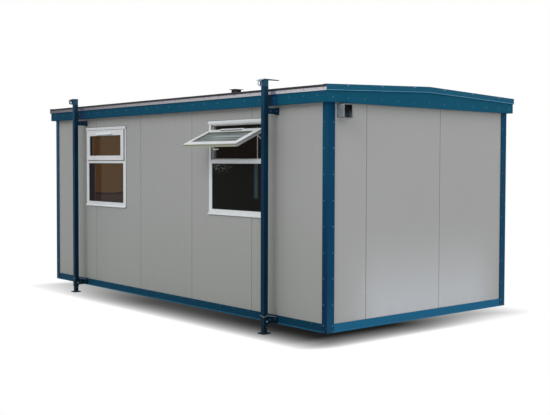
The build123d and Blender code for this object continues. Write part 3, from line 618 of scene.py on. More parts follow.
def sweptShape(section, path, side=(1, 0, 0), size=1.0):
    # Section points (s, t) carried along a path: each is the path point plus s times the side direction
    # plus t times the cross product of the tangent and the side, scaled by the size.
    path = np.asarray(path, float)
    tangent = np.gradient(path, axis=0)
    tangent /= np.linalg.norm(tangent, axis=1, keepdims=True)
    side = side - (side * tangent).sum(1, keepdims=True) * tangent
    side /= np.linalg.norm(side, axis=1, keepdims=True)
    across, along = np.asarray(section, float).T[:, None, :, None]
    flat = across * side[:, None] + along * np.cross(tangent, side)[:, None]
    return gridShape(path[:, None] + np.broadcast_to(size, len(path))[:, None, None] * flat)


def softSection(w, h, edge):
    # Rectangle of half width w and half height h with its four corners cut by edge.
    return np.array([(w - edge, -h), (w, edge - h), (w, h - edge), (w - edge, h),
                     (edge - w, h), (-w, h - edge), (-w, edge - h), (edge - w, -h)])


def softBar(start, end, halfWidth, halfHeight, edge, side=(1, 0, 0)):
    # Straight bar with cut edges whose ends draw in over the same small edge.
    start, end = np.asarray(start, float), np.asarray(end, float)
    share = np.array([0, edge / np.linalg.norm(end - start), 0.5])
    share = np.concatenate([share, 1 - share[1::-1]])
    small = 1 - edge / max(halfWidth, halfHeight)
    return sweptShape(softSection(halfWidth, halfHeight, edge), start + share[:, None] * (end - start),
                      side, [small, 1, 1, 1, small])


def bezier(points, steps):
    # Curve from the first to the last of n + 1 points: the sum of (n choose k) (1 - t)^(n - k) t^k times
    # point k.
    t = np.linspace(0, 1, steps)[:, None]
    order = len(points) - 1
    return sum(math.comb(order, k) * (1 - t) ** (order - k) * t ** k * np.asarray(point, float)
               for k, point in enumerate(points))


facing = {"-y": [(1, 0, 0), (0, 0, -1), (0, 1, 0)], "+y": [(-1, 0, 0), (0, 0, 1), (0, 1, 0)],
          "+x": [(0, 0, 1), (1, 0, 0), (0, 1, 0)], "-x": [(0, 0, -1), (-1, 0, 0), (0, 1, 0)]}


def heads(shape, side, x, y, z):
    # The shape turned to face a side, at each place of a row; what stays the same is given as one number.
    return shape.placed(turn=facing[side]).spread(np.stack(np.broadcast_arrays(x, y, z), -1))


def addPiece(name, shape, finish, soft=None, body="cabin"):
    # Puts a shape into the scene with its faces turned outwards and makes it ride on a body. Soft shades it
    # smoothly, sharp only where faces meet at more than that angle in degrees.
    mesh = bpy.data.meshes.new(name)
    mesh.from_pydata(shape.points.tolist(), [], shape.quads.tolist() + shape.fans.tolist())
    shell = bmesh.new()
    shell.from_mesh(mesh)
    bmesh.ops.recalc_face_normals(shell, faces=shell.faces)
    shell.to_mesh(mesh)
    shell.free()
    mesh.materials.append(finishes[finish])
    if soft:
        mesh.shade_smooth()
        mesh.set_sharp_from_angle(angle=math.radians(soft))
    piece = bpy.data.objects.new(name, mesh)
    scene.collection.objects.link(piece)
    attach(piece, body)
    return piece


print("rivets and nails")
# Profiles of round heads, as shares of the radius and of the height.
headSet = {
    "rivet": [(0, -0.1), (1, -0.1), (1, 0.25), (0.8, 0.6), (0.55, 0.85), (0.3, 1), (0.22, 0.7), (0, 0.65)],
    "screw": [(0, -0.1), (1, -0.1), (1, 0.35), (0.9, 0.75), (0.65, 0.95), (0.3, 1), (0.22, 0.7), (0, 0.6)]}
rivetSet = {"radius": 0.0068, "height": 0.0022, "rows": 21, "pitch": 0.2616, "firstInset": 0.094,
            "lastPitch": 0.224, "rise": 0.0725, "gablePitch": 0.2623, "gableEnds": (1.295, 1.515),
            "gableRise": 0.048, "postRows": 8, "postPitch": 0.2743, "postTop": 0.204, "postInset": 0.022,
            "leaf": 0.103, "foot": (0.014, 0.078)}


def headShape(kind, radius, height):
    # Low dome on a thin rim with a small recess: the profile, scaled to size, turned about Z.
    return turnedShape(np.array(headSet[kind]) * (radius, height), 12)


def fasciaRivets():
    # Even pitch along the eaves, the two nearest the vent end closer; even round the middle of each gable,
    # with two more near each end.
    near, close, even = fasciaHigh[0] - rivetSet["firstInset"], rivetSet["lastPitch"], rivetSet["pitch"]
    eaveX = np.concatenate([near - close * np.arange(2), near - close * 2 - even * np.arange(rivetSet["rows"]),
                            [fasciaLow[0] + rivetSet["firstInset"]]])
    inner, outer = rivetSet["gableEnds"]
    gableY = np.concatenate([rivetSet["gablePitch"] * np.arange(-4, 5), [-outer, -inner, inner, outer]])
    z, gableZ = soffit + rivetSet["rise"], soffit + rivetSet["gableRise"]
    return [heads(rivet, "-y", eaveX, fasciaLow[1], z), heads(rivet, "+y", eaveX, fasciaHigh[1], z),
            heads(rivet, "+x", gableHigh[0], cabinY + gableY, gableZ),
            heads(rivet, "-x", gableLow[0], cabinY + gableY, gableZ)]


def postRivets():
    # A column near the free edge of each flashing leaf, and a pair at the foot.
    z = soffit - rivetSet["postTop"] - rivetSet["postPitch"] * np.arange(rivetSet["postRows"])
    z = np.concatenate([z, beamLow[2] + np.array(rivetSet["foot"])])
    low, high = corners("corner_flashings", 1)
    longX, endX = low[0] + rivetSet["postInset"] - cabinX, high[0] - cabinX
    longY, endY = cabinY - postLow[1], cabinY - (postLow[1] + rivetSet["leaf"] - rivetSet["postInset"])
    shapes = []
    for sideX, end in ((1, "+x"), (-1, "-x")):
        for sideY, wall in ((-1, "-y"), (1, "+y")):
            shapes += [heads(rivet, wall, cabinX + sideX * longX, cabinY + sideY * longY, z),
                       heads(rivet, end, cabinX + sideX * endX, cabinY + sideY * endY, z)]
    return shapes


rivet = headShape("rivet", rivetSet["radius"], rivetSet["height"])
addPiece("sheetRivets", joined(fasciaRivets() + postRivets()), "rivetPaint", 40)

nailSet = {"radius": 0.0065, "height": 0.0014, "sunk": 0.0002, "count": 21, "pitch": 0.303,
           "firstInset": 0.056, "drop": 0.031}


def dripNails():
    # Flat clout heads with a rounded rim, turned about Z, in a row along each drip strip; their dark colour
    # and size also stand in for the shade round each head, a painted shade.
    radius, height, sunk = nailSet["radius"], nailSet["height"], nailSet["sunk"]
    nail = turnedShape([(0, -sunk), (radius, -sunk), (radius, height * 0.6), (radius * 0.85, height),
                        (0, height)], 10)
    low, high = corners("eave_drips")
    x = high[0] - nailSet["firstInset"] - nailSet["pitch"] * np.arange(nailSet["count"])
    z = high[2] - nailSet["drop"]
    return heads(nail, "-y", x, low[1], z) + heads(nail, "+y", x, high[1], z)


addPiece("dripNails", dripNails(), "darkSteel", 40)

beamSet = {"size": 0.8, "count": 21, "endCount": 9, "pitch": 0.2735, "firstInset": 0.243, "upper": 0.079,
           "lower": 0.0065, "lip": 0.003, "clear": 0.045, "endFirst": 0.390, "endRise": 0.012}


def beamRivets():
    # Smaller rivets: pairs along the long beams, in the web and in the lip, and one row along the end beams.
    small = Shape(rivet.points * beamSet["size"], rivet.quads, rivet.fans)
    x = beamHigh[0] - beamSet["firstInset"] - beamSet["pitch"] * np.arange(beamSet["count"])
    x = x[np.abs(x[:, None] - legX).min(1) > beamSet["clear"]]
    shapes = []
    for side, face, lip in (("-y", beamLow[1], beamSet["lip"]), ("+y", beamHigh[1], -beamSet["lip"])):
        shapes += [heads(small, side, x, face + lip, beamLow[2] + beamSet["upper"]),
                   heads(small, side, x, face, beamLow[2] + beamSet["lower"])]
    low, high = corners("end_floor_beams")
    y = beamLow[1] + beamSet["endFirst"] + beamSet["pitch"] * np.arange(beamSet["endCount"])
    for side, face in (("+x", high[0]), ("-x", low[0])):
        shapes.append(heads(small, side, face, y, low[2] + beamSet["endRise"]))
    return joined(shapes)


addPiece("beamRivets", beamRivets(), "rivetPaint", 40)

print("windows")
sashSet = {"bite": 0.010, "rail": 0.078, "bottomRail": 0.066, "flange": 0.014, "recess": 0.012, "seal": 0.0055,
           "body": 0.0107}
beadSection = [(0.002, 0.0), (-0.0045, 0.0), (-0.0055, 0.0012), (-0.0045, 0.003), (-0.002, 0.0038),
               (0.002, 0.0038)]
upright = np.stack([(1, 0, 0), (0, 0, 1), (0, -1, 0)], 1)      # window places (right, up, out) to the scene


def paneFrame(side):
    # Middle of a sash's glass, its right, up and outward directions and half sizes, from the glass mesh.
    points = meshPoints("sash_glass")
    split = (points[:, 0].min() + points[:, 0].max()) / 2
    points = points[(points[:, 0] - split) * side > 0]
    centre = (points.min(0) + points.max(0)) / 2
    up = np.linalg.svd((points - centre)[:, 1:])[2][0]
    up = np.array([0, *(up * (-1 if up[1] < 0 else 1))])
    out = np.cross((1, 0, 0), up)
    turn = np.stack([(1, 0, 0), up, out if out[1] < 0 else -out], 1)
    halfWidth, halfHeight, halfDepth = np.abs((points - centre) @ turn).max(0)
    return {"centre": centre, "turn": turn, "halfWidth": halfWidth, "halfHeight": halfHeight,
            "halfDepth": halfDepth, "open": side > 0}


panes = [paneFrame(-1), paneFrame(1)]      # the closed sash and the open one


def onPanes(makeShape):
    # What a function makes for each sash, in places (right, up, out), brought to the scene.
    return joined([makeShape(pane).placed(pane["centre"], pane["turn"]) for pane in panes])


def wedgeBead(halfWidth, halfHeight):
    # Black wedge carried round the seen edge of a pane with the given half sizes.
    return framedShape(beadSection, halfWidth - sashSet["bite"], halfHeight - sashSet["bite"])


def sashBeads(pane):
    # One bead on the outer face of the glass and its mirror on the inner face.
    bead = wedgeBead(pane["halfWidth"], pane["halfHeight"])
    return (bead.placed((0, 0, pane["halfDepth"]))
            + bead.placed((0, 0, -pane["halfDepth"]), np.diag([1, 1, -1])))


def sashShadowSeals(pane):
    # Dark seal: outside the flange against the frame on the closed sash, under the flange on the open one. It
    # also stands in for the shadow in the gap, a painted shade.
    halfWidth = pane["halfWidth"] - sashSet["bite"] + sashSet["rail"]
    halfHeight = pane["halfHeight"] - sashSet["bite"] + (sashSet["rail"] + sashSet["bottomRail"]) / 2
    size, body = sashSet["seal"], sashSet["body"]
    section = [(0.0003, 0), (size, 0), (size, size * 1.1), (size * 0.5, size * 1.5), (0.0003, size * 1.5)]
    if pane["open"]:
        section = [(-body, -0.0002), (-0.002, -0.0002), (-0.002, -size * 0.7), (-0.006, -size), (-body, -size)]
    lift = (sashSet["rail"] - sashSet["bottomRail"]) / 2
    back = pane["halfDepth"] + sashSet["recess"] - sashSet["flange"]
    return framedShape(section, halfWidth, halfHeight).placed((0, lift, back))


addPiece("sashBeads", onPanes(sashBeads), "rubber", 40)
addPiece("sashShadowSeals", onPanes(sashShadowSeals), "rubber")


def fixedBeads():
    # The same wedge bead on both fixed panes.
    shapes = []
    for (low, high), edge in zip(windows, (fixedLow[0], fixedHigh[0])):
        x = (low[0] + high[0]) / 2
        bead = wedgeBead(abs(edge - x), (fixedHigh[2] - fixedLow[2]) / 2)
        shapes.append(bead.placed((x, fixedLow[1], (fixedLow[2] + fixedHigh[2]) / 2), upright))
    return joined(shapes)


addPiece("fixedBeads", fixedBeads(), "rubber", 40)

sealantSet = {"width": 0.006, "height": 0.0035, "gap": 0.0003}


def windowSealant():
    # Bead round each window frame: a section that falls off outwards, carried round the frame on the wall. Its
    # dark colour is partly a painted shadow line beside the frame.
    width, height = sealantSet["width"], sealantSet["height"]
    section = [(0, 0), (width, 0), (width * 0.8, height * 0.5), (width * 0.35, height * 0.9), (0, height)]
    shapes = []
    for low, high in windows:
        (x, y, z), half = (low + high) / 2, (high - low) / 2 + sealantSet["gap"]
        shapes.append(framedShape(section, half[0], half[2]).placed((x, panelLow[1], z), upright))
    return joined(shapes)


addPiece("windowSealant", windowSealant(), "sealant", 40)

ventSet = {"bars": 3, "pitch": 0.0062, "first": 0.005, "half": 0.0016, "bar": 0.0012, "halfLength": 0.210,
           "drop": 0.050, "halfHeight": 0.013, "gap": 0.001, "edge": 0.0004}


def ventGrilles(pane):
    # Grille bars side by side under the hood of a trickle vent.
    level = (pane["halfHeight"] - sashSet["bite"] + sashSet["rail"] - ventSet["drop"] - ventSet["halfHeight"]
             - ventSet["gap"])
    out = pane["halfDepth"] + sashSet["recess"] + ventSet["first"]
    ends = [(side * ventSet["halfLength"], level, out) for side in (-1, 1)]
    bar = softBar(*ends, ventSet["half"], ventSet["bar"], ventSet["edge"], (0, 0, 1))
    return bar.spread([(0, 0, step * ventSet["pitch"]) for step in range(ventSet["bars"])])


addPiece("ventGrilles", onPanes(ventGrilles), "grille")

print("walls")
jointSet = {"half": 0.0027, "depth": 0.0011, "edge": 0.0004, "sunk": 0.0023, "firstEnd": 0.575,
            "endBay": 1.220, "gap": 0.001}


def wallJoints():
    # Dark mastic in the groove between neighbouring panels, broken where a window crosses it.
    low, high = beamHigh[2] + jointSet["gap"], soffit - jointSet["gap"]
    sunk, runs = jointSet["sunk"], []
    for bay in range(1, 5):
        x = (corners(f"front_wall_panel_{bay}")[1][0] + corners(f"front_wall_panel_{bay + 1}")[0][0]) / 2
        crossed = [level for sill, head in windows if sill[0] < x < head[0] for level in (sill[2], head[2])]
        stops = [low, *crossed, high]
        runs += [(x, panelLow[1] + sunk, *run, (1, 0, 0)) for run in zip(stops[::2], stops[1::2])]
        runs.append((x, backFace - sunk, low, high, (1, 0, 0)))
    for y in panelLow[1] + jointSet["firstEnd"] + jointSet["endBay"] * np.arange(2):
        runs += [(x, y, low, high, (0, 1, 0)) for x in (endHigh[0] - sunk, farEndLow[0] + sunk)]
    size = [jointSet[key] for key in ("half", "depth", "edge")]
    return joined([softBar((x, y, bottom), (x, y, top), *size, side) for x, y, bottom, top, side in runs])


addPiece("wallJoints", wallJoints(), "mastic")

stripSet = {"inset": 0.044, "half": 0.008, "depth": 0.0016, "edge": 0.0006, "sunk": 0.0008, "foot": 0.002,
            "top": 0.03}


def innerStrips():
    # Cover strips near the panel joints on the room side of the back wall.
    y = backFace - (panelHigh[1] - panelLow[1]) - stripSet["sunk"]
    bars = []
    for bay in range(1, 5):
        x = corners(f"front_wall_panel_{bay}")[1][0] - stripSet["inset"]
        bars.append(softBar((x, y, deckHigh[2] + stripSet["foot"]), (x, y, soffit - stripSet["top"]),
                            stripSet["half"], stripSet["depth"], stripSet["edge"]))
    return joined(bars)


addPiece("innerStrips", innerStrips(), "innerTrim")

print("roof")
roofSlope = math.tan(math.radians(2.1))
vergeLow, vergeHigh = corners("verge_trims")
feltLow, feltHigh = corners("roof_felt")
vergeSet = {"roll": 0.0042, "inset": 0.001, "crown": 0.02, "screws": 6, "screwPitch": 0.52, "screwRise": 0.054,
            "screwRadius": 0.006, "screwHeight": 0.0024, "band": 0.0073}


def overRoof(x, reach, crown, ridge):
    # Path across the roof at x: its height falls from the ridge by the roof's slope on both sides.
    along = reach * np.array([-1, -0.5, -crown, 0, crown, 0.5, 1])
    return np.stack(np.broadcast_arrays(x, cabinY + along, ridge - np.abs(along) * roofSlope), -1)


def vergeRolls():
    # Rolled hem along the foot of each verge trim: a circle carried up both slopes to the ridge. Its paler
    # paint is a painted highlight.
    radius, reach = vergeSet["roll"], (vergeHigh[1] - vergeLow[1]) / 2 - vergeSet["inset"]
    return joined([sweptShape(roundSection(radius), overRoof(x, reach, vergeSet["crown"],
                                                             vergeLow[2] + radius + reach * roofSlope))
                   for x in (vergeHigh[0] - radius, vergeLow[0] + radius)])


def vergeScrews():
    # A row of pan heads near the top of each verge band.
    y = vergeSet["screwPitch"] * (np.arange(vergeSet["screws"]) - (vergeSet["screws"] - 1) / 2)
    z = vergeLow[2] + vergeSet["screwRise"] + ((vergeHigh[1] - vergeLow[1]) / 2 - np.abs(y)) * roofSlope
    head = headShape("screw", vergeSet["screwRadius"], vergeSet["screwHeight"])
    return (heads(head, "+x", vergeHigh[0] - vergeSet["band"], cabinY + y, z)
            + heads(head, "-x", vergeLow[0] + vergeSet["band"], cabinY + y, z))


addPiece("vergeRolls", vergeRolls(), "wornPaint", 40)
addPiece("vergeScrews", vergeScrews(), "paleScrew", 40)

feltSet = {"sheets": 6, "width": 1.0, "lap": 0.0375, "thickness": 0.0011, "edge": 0.0005, "inset": 0.006,
           "crown": 0.03, "ridge": 0.15, "ridgeRise": 0.0022, "endInset": 0.062}


def feltLaps():
    # Raised edge where one felt sheet lies over the next, from eave to eave, and a strip along the ridge.
    section = softSection(feltSet["lap"], feltSet["thickness"], feltSet["edge"])
    reach = feltHigh[1] - cabinY - feltSet["inset"]
    places = cabinX + feltSet["width"] * (np.arange(feltSet["sheets"]) - (feltSet["sheets"] - 1) / 2)
    laps = [sweptShape(section, overRoof(x, reach, feltSet["crown"], feltHigh[2])) for x in places]
    half, rise, drop = feltSet["ridge"], feltSet["ridgeRise"], feltSet["ridge"] * roofSlope
    strip = [(-half, -drop), (0, 0), (half, -drop), (half, rise - drop), (0, rise), (-half, rise - drop)]
    inset = feltSet["endInset"]
    ends = [(x, cabinY, feltHigh[2]) for x in (feltLow[0] + inset, feltHigh[0] - inset)]
    return joined(laps + [sweptShape(strip, ends, (0, 1, 0))])


addPiece("feltLaps", feltLaps(), "felt")

louvreSet = {"half": 0.050, "capDrop": 0.016, "pitch": 0.022, "slotHalf": 0.0275, "sunk": 0.006,
             "blade": 0.0065, "gauge": 0.0011, "edge": 0.0004, "tilt": 35.0, "skirt": 0.050, "gap": 0.001}
skirtSection = [(-0.001, -0.006), (louvreSet["skirt"], -0.006), (louvreSet["skirt"], -0.002), (0.006, 0.002),
                (0.002, 0.012), (0.0015, 0.040), (-0.001, 0.040)]


def roofVentParts():
    # Two tilted blades in each of two slots on all four sides, and a dressed skirt round the foot.
    low, high = corners("roof_vent")
    x, y = (low + high)[:2] / 2
    tilt = math.radians(louvreSet["tilt"])
    shapes = []
    for out in np.array([(1, 0, 0), (0, 1, 0), (-1, 0, 0), (0, -1, 0)], float):
        run = np.cross((0, 0, 1), out) * louvreSet["slotHalf"]
        lean = out * math.cos(tilt) - np.array([0, 0, math.sin(tilt)])
        for drop in (0.25, 0.75, 2.25, 2.75):      # in slot pitches below the cap
            spot = np.array([x, y, high[2] - louvreSet["capDrop"] - louvreSet["pitch"] * drop])
            spot += out * (louvreSet["half"] - louvreSet["sunk"])
            shapes.append(softBar(spot - run, spot + run, louvreSet["blade"], louvreSet["gauge"],
                                  louvreSet["edge"], lean))
    half = louvreSet["half"] + louvreSet["gap"]
    skirt = framedShape(skirtSection, half, half, 0.002, 4).placed((x, y, feltHigh[2] + louvreSet["gap"]))
    return joined(shapes + [skirt])


addPiece("roofVentParts", roofVentParts(), "vent_plastic", 30)

inletLow, inletHigh = corners("inlet_box")
inletCentre, inletHalf = (inletLow + inletHigh) / 2, (inletHigh - inletLow) / 2
inletSet = {"corner": 0.010, "wall": 0.004, "lip": 0.0056, "sealSunk": 0.0002, "meshDepth": 0.055,
            "wire": 0.0007, "pitch": 0.0115}


def onInlet(shape, x):
    # From places (across, up, out) to the vent end wall, centred on the box.
    return shape.placed((x, *inletCentre[1:]), np.stack([(0, 1, 0), (0, 0, 1), (1, 0, 0)], 1))


def inletRim():
    # Folded rim carried round the mouth, lying over the sheet's cut edge.
    lip = inletSet["lip"]
    section = [(-lip, -0.006), (0.0008, -0.006), (0.0008, -0.0006), (0.0002, 0), (0.0006 - lip, 0),
               (-lip, -0.0006)]
    return onInlet(framedShape(section, *inletHalf[1:], inletSet["corner"], 5), inletHigh[0])


def inletSeal():
    # Pale bead carried round where the box meets the wall.
    section = [(0, 0), (0.008, 0), (0.0062, 0.0026), (0.003, 0.0055), (0, 0.0065)]
    bead = framedShape(section, *inletHalf[1:], inletSet["corner"], 6)
    return onInlet(bead, inletLow[0] - inletSet["sealSunk"])


def inletMesh():
    # Crossed wires of an insect screen set back in the duct.
    reachY, reachZ = inletHalf[1:] - inletSet["wall"]
    wire, pitch = inletSet["wire"], inletSet["pitch"]
    upWires = [softBar((y, -reachZ, wire), (y, reachZ, wire), wire, wire, wire * 0.4)
               for y in np.arange(pitch - reachY, reachY, pitch)]
    crossWires = [softBar((-reachY, z, -wire), (reachY, z, -wire), wire, wire, wire * 0.4, (0, 0, 1))
                  for z in np.arange(pitch - reachZ, reachZ, pitch)]
    return onInlet(joined(upWires + crossWires), inletHigh[0] - inletSet["meshDepth"])


addPiece("inletRim", inletRim(), "paleZinc", 30)
addPiece("inletSeal", inletSeal(), "paleSealant", 40)
addPiece("inletMesh", inletMesh(), "darkSteel")

print("legs")
legSet = {"half": 0.030, "collarHalf": 0.031, "armHalf": 0.027, "plate": 0.006, "margin": 0.010,
          "innerHalf": 0.0257, "footTop": 0.010, "headWeld": 0.060, "cap": 0.008, "lowerArm": (0.015, 0.099),
          "weld": 0.0036, "rim": 0.0030, "rimDrop": (0.003, 0.019)}
boltSet = {"radius": 0.0095, "height": 0.0064, "washer": 0.0115, "washerHeight": 0.002, "thread": 0.005,
           "threadHeight": 0.004, "inner": 0.030, "outer": 0.034, "outerLow": 0.046}
collarSet = {"pinOut": 0.016, "pinDrop": 0.072, "rod": 0.0042, "rodGap": 0.004, "rodOut": (0.040, 0.155),
             "rodDrop": (0.012, 0.034)}
pinSet = {"gap": 0.0083, "overhang": 0.012, "head": 0.0115, "ring": 0.015, "wire": 0.0019}
legs = []
for end, sideX in (("near", 1), ("far", -1)):
    for face, sideY in (("front", -1), ("back", 1)):
        x, y = sum(corners(f"{end}_{face}_inner_leg"))[:2] / 2
        upper = corners("upper_leg_brackets", sideX, sideY)
        legs.append({"body": f"{end}_{face}_leg", "name": f"{end}{face.title()}", "x": x, "y": y,
                     "side": sideY, "upper": upper, "wall": abs(upper[sideY < 0][1] - y),
                     "sleeve": corners(f"{face}_leg_sleeves", sideX),
                     "foot": corners("lower_leg_brackets", sideX, sideY)[0][2]})


def onLeg(shape, leg):
    # From places (along the cabin, towards the wall, up) to a leg.
    return shape.placed((leg["x"], leg["y"], 0), np.diag([1, -leg["side"], 1]))


def onLegs(makeShape):
    # What a function makes for each leg, brought to it.
    return joined([onLeg(joined(makeShape(leg)), leg) for leg in legs])


def boltShape(threaded):
    # Six-sided head with cut corners on a round washer, each turned about Z, or a nut with the bolt's end.
    radius, height, wide, base = (boltSet[key] for key in ("radius", "height", "washer", "washerHeight"))
    washer = turnedShape([(0, 0), (wide, 0), (wide, base * 0.7), (wide * 0.95, base), (0, base)], 16)
    head = turnedShape([(0, 0), (radius, 0), (radius, height * 0.8), (radius * 0.86, height), (0, height)], 6)
    shape = washer + head.placed((0, 0, base * 0.9))
    if threaded:
        end, reach = boltSet["thread"], boltSet["threadHeight"]
        stub = turnedShape([(0, 0), (end, 0), (end, reach * 0.8), (end * 0.8, reach), (0, reach)], 10)
        shape += stub.placed((0, 0, base + height * 0.95))
    return shape


def crossBolt(half, y, z):
    # Head on the +X face and nut on the -X face of something that reaches half to each side.
    return (boltShape(False).placed((half, y, z), facing["+x"])
            + boltShape(True).placed((-half, y, z), facing["-x"]))


def bracketBolts(leg):
    # Two bolts through the upper arm and two through the lower arm, near the sleeve and near the wall plate.
    level = (leg["upper"][0][2] + leg["upper"][1][2]) / 2
    lowLevel = leg["sleeve"][0][2] - sum(legSet["lowerArm"]) / 2
    inner = legSet["half"] + boltSet["inner"]
    outer, outerLow = leg["wall"] - boltSet["outer"], leg["wall"] - boltSet["outerLow"]
    return [crossBolt(legSet["armHalf"], y, z) for y, z in (
        (inner, level), (outer, level), (inner, lowLevel), (outerLow, lowLevel))]


def collarPins(leg):
    # Bright cross pin through each collar, and a short pale rod along the top of the lower arm that stands in
    # for a highlight on its edge, a painted highlight.
    foot, side = leg["sleeve"][0][2], legSet["armHalf"] + collarSet["rodGap"]
    start, end = ((side, out, foot - drop) for out, drop in zip(collarSet["rodOut"], collarSet["rodDrop"]))
    return [crossBolt(legSet["collarHalf"], collarSet["pinOut"], foot - collarSet["pinDrop"]),
            sweptShape(roundSection(collarSet["rod"], 8), np.linspace(start, end, 6))]


def weld(start, end, radius=legSet["weld"]):
    # Bead along a corner whose thickness rises and falls: radius times (1 + 0.16 sin of the run).
    start, end = np.asarray(start, float), np.asarray(end, float)
    steps = max(8, int(np.linalg.norm(end - start) / 0.0035))
    path = start + np.linspace(0, 1, steps)[:, None] * (end - start)
    size = 1 + 0.16 * np.sin(np.arange(steps) * 2.1)
    return sweptShape(roundSection(radius, 6), path, (0.7, 0.7, 0.1), size)


def bracketWelds(leg):
    # Upright beads on both sides: arm to wall plate, arm to sleeve, arm to collar and head to sleeve.
    sleeveLow, sleeveHigh = (corner[2] for corner in leg["sleeve"])
    half, arm, margin = legSet["half"], legSet["armHalf"], legSet["margin"]
    low, high = leg["upper"][0][2] + margin, leg["upper"][1][2] - margin
    armHigh, armLow = (sleeveLow - drop for drop in legSet["lowerArm"])
    headHigh = sleeveHigh - legSet["cap"]
    runs = [(arm, leg["wall"] - legSet["plate"], low, high), (arm, half, low, high),
            (arm, legSet["collarHalf"], armLow, armHigh),
            (half, -half, headHigh - legSet["headWeld"], headHigh)]
    return [weld((side * x, y, bottom), (side * x, y, top)) for side in (-1, 1) for x, y, bottom, top in runs]


def collarHighlightRims(leg):
    # Pale bead on each collar, a painted highlight on its edge, dropping to the corner that points away from
    # the cabin's middle.
    half, out = legSet["collarHalf"] + 0.0004, 1 if leg["x"] > 0 else -1
    high, low = (leg["sleeve"][0][2] - drop for drop in legSet["rimDrop"])
    starts = ((-out * half, -half, high), (out * half, half, high))
    return [weld(start, (out * half, -half, low), legSet["rim"]) for start in starts]


def footWeld():
    # Fillet carried round the inner tube on its foot plate.
    section = [(-0.001, -0.0005), (0.0052, -0.0005), (0.0030, 0.0024), (0.0016, 0.0050), (-0.001, 0.0052)]
    ring = framedShape(section, legSet["innerHalf"], legSet["innerHalf"], 0.004, 4)
    return ring.placed((0, 0, legSet["footTop"]))


def pinEnds(level):
    # Flat head on one end of the locking pin and a pull ring through the other.
    reach, radius = legSet["collarHalf"] + pinSet["overhang"], pinSet["head"]
    head = turnedShape([(0, -0.0005), (radius, -0.0005), (radius, 0.0022), (radius * 0.85, 0.0034),
                        (0, 0.0038)], 16)
    ring = ringShape(pinSet["ring"], pinSet["wire"])
    hang = level - (pinSet["ring"] - pinSet["wire"] - 0.003)
    return head.placed((reach, 0, level), facing["+x"]) + ring.placed((0.004 - reach, 0, hang), facing["+x"])


addPiece("bracketWelds", onLegs(bracketWelds), "leg_paint", 60)
addPiece("bracketBolts", onLegs(bracketBolts), "legBolt")
addPiece("collarPins", onLegs(collarPins), "dullSteel", 30)
addPiece("collarHighlightRims", onLegs(collarHighlightRims), "wornSteel", 60)
for leg in legs:
    addPiece(f"{leg['name']}FootWeld", onLeg(footWeld(), leg), "leg_paint", 60, leg["body"])
    addPiece(f"{leg['name']}PinEnds", onLeg(pinEnds(leg["foot"] - pinSet["gap"]), leg), "legBolt",
             30, leg["body"])

print("fittings")
leverSet = {"inside": 0.0223, "rise": 0.0275, "plateHalf": (0.026, 0.014), "corner": 0.010, "plate": 0.009,
            "edge": 0.003, "reach": 0.038, "length": 0.108, "radius": 0.0078}


def sashLevers(pane):
    # Rounded plate, and a lever swept on a curve drawn by five points: straight out, round, along the rail.
    down, back = -(pane["halfHeight"] - sashSet["bite"]) - leverSet["rise"], -leverSet["inside"]
    plate = padShape(*leverSet["plateHalf"], leverSet["corner"], leverSet["plate"], leverSet["edge"])
    root, far = back - leverSet["plate"] + leverSet["edge"], back - leverSet["plate"] - leverSet["reach"]
    path = bezier([(0, down, root), (0, down, far - 0.006), (0.018, down, far - 0.004),
                   (0.060, down, far + 0.004), (leverSet["length"], down - 0.003, far + 0.009)], 18)
    size = np.concatenate([np.full(4, 1.1), np.linspace(1.1, 0.8, 12), [0.68, 0.4]])
    lever = sweptShape(roundSection(leverSet["radius"], 12), path, (0, 1, 0), size)
    return plate.placed((0, down, back), np.diag([1, 1, -1])) + lever


levers = addPiece("sashLevers", onPanes(sashLevers), "upvc", 35)
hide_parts("sash_handles")

staySet = {"end": 0.008, "gauge": 0.0044}


def stayPins():
    # Riveted pivots at both ends of each stay.
    (lowX, lowY, lowZ), (highX, highY, highZ) = corners("sash_stays")
    end, gauge = staySet["end"], staySet["gauge"]
    y, z = np.array([(highY - end, lowZ + end), (lowY + end, highZ - end)]).T
    return heads(rivet, "+x", lowX + gauge, y, z) + heads(rivet, "-x", highX - gauge, y, z)


addPiece("stayPins", stayPins(), "steel_fitting", 40)

print("door")
leafLow, leafHigh = corners("door_leaf")
doorLow, doorHigh = corners("door_frame")
doorSet = {"hingeRadius": 0.0075, "hingeHalf": 0.050, "hingeInset": 0.22, "hingeGap": 0.0015,
           "flapWidth": 0.030, "flap": 0.0013, "screw": (0.0042, 0.0014), "seal": 0.0045, "cylinder": 0.0095,
           "cylinderInset": 0.022, "cylinderDrop": 0.052, "cylinderOut": 0.0093, "dripReach": 0.034,
           "dripRise": (0.014, 0.06)}


def doorHinges():
    # Three hinges: a barrel of three knuckles, turned about Z, between two flaps with three screws each.
    radius, half = doorSet["hingeRadius"], doorSet["hingeHalf"]
    knuckle, reach = half / 3, doorSet["flapWidth"] / 2
    profile = [(0, -half - 0.002), (radius * 0.7, -half - 0.002), (radius, -half)]
    for joint in (-knuckle, knuckle):
        profile += [(radius, joint - 0.0008), (radius * 0.86, joint), (radius, joint + 0.0008)]
    profile += [(radius, half), (radius * 0.7, half + 0.002), (0, half + 0.002)]
    shapes = [turnedShape(profile).placed((0, radius * 0.7, 0))]
    screw, levels = headShape("screw", *doorSet["screw"]), knuckle * np.array([-2, 0, 2])
    for side, sunk in ((-1, 0), (1, doorHigh[1] - leafHigh[1])):
        x, y = side * (reach + radius * 0.6), 0.0008 - sunk
        shapes += [softBar((x, y, -half), (x, y, half), reach, doorSet["flap"], 0.0006),
                   heads(screw, "+y", x, 0.002 - sunk, levels)]
    inset, middle = doorSet["hingeInset"], (leafLow[2] + leafHigh[2]) / 2
    return joined(shapes).spread([(leafLow[0] - doorSet["hingeGap"], doorHigh[1], z)
                                  for z in (leafLow[2] + inset, middle, leafHigh[2] - inset)])


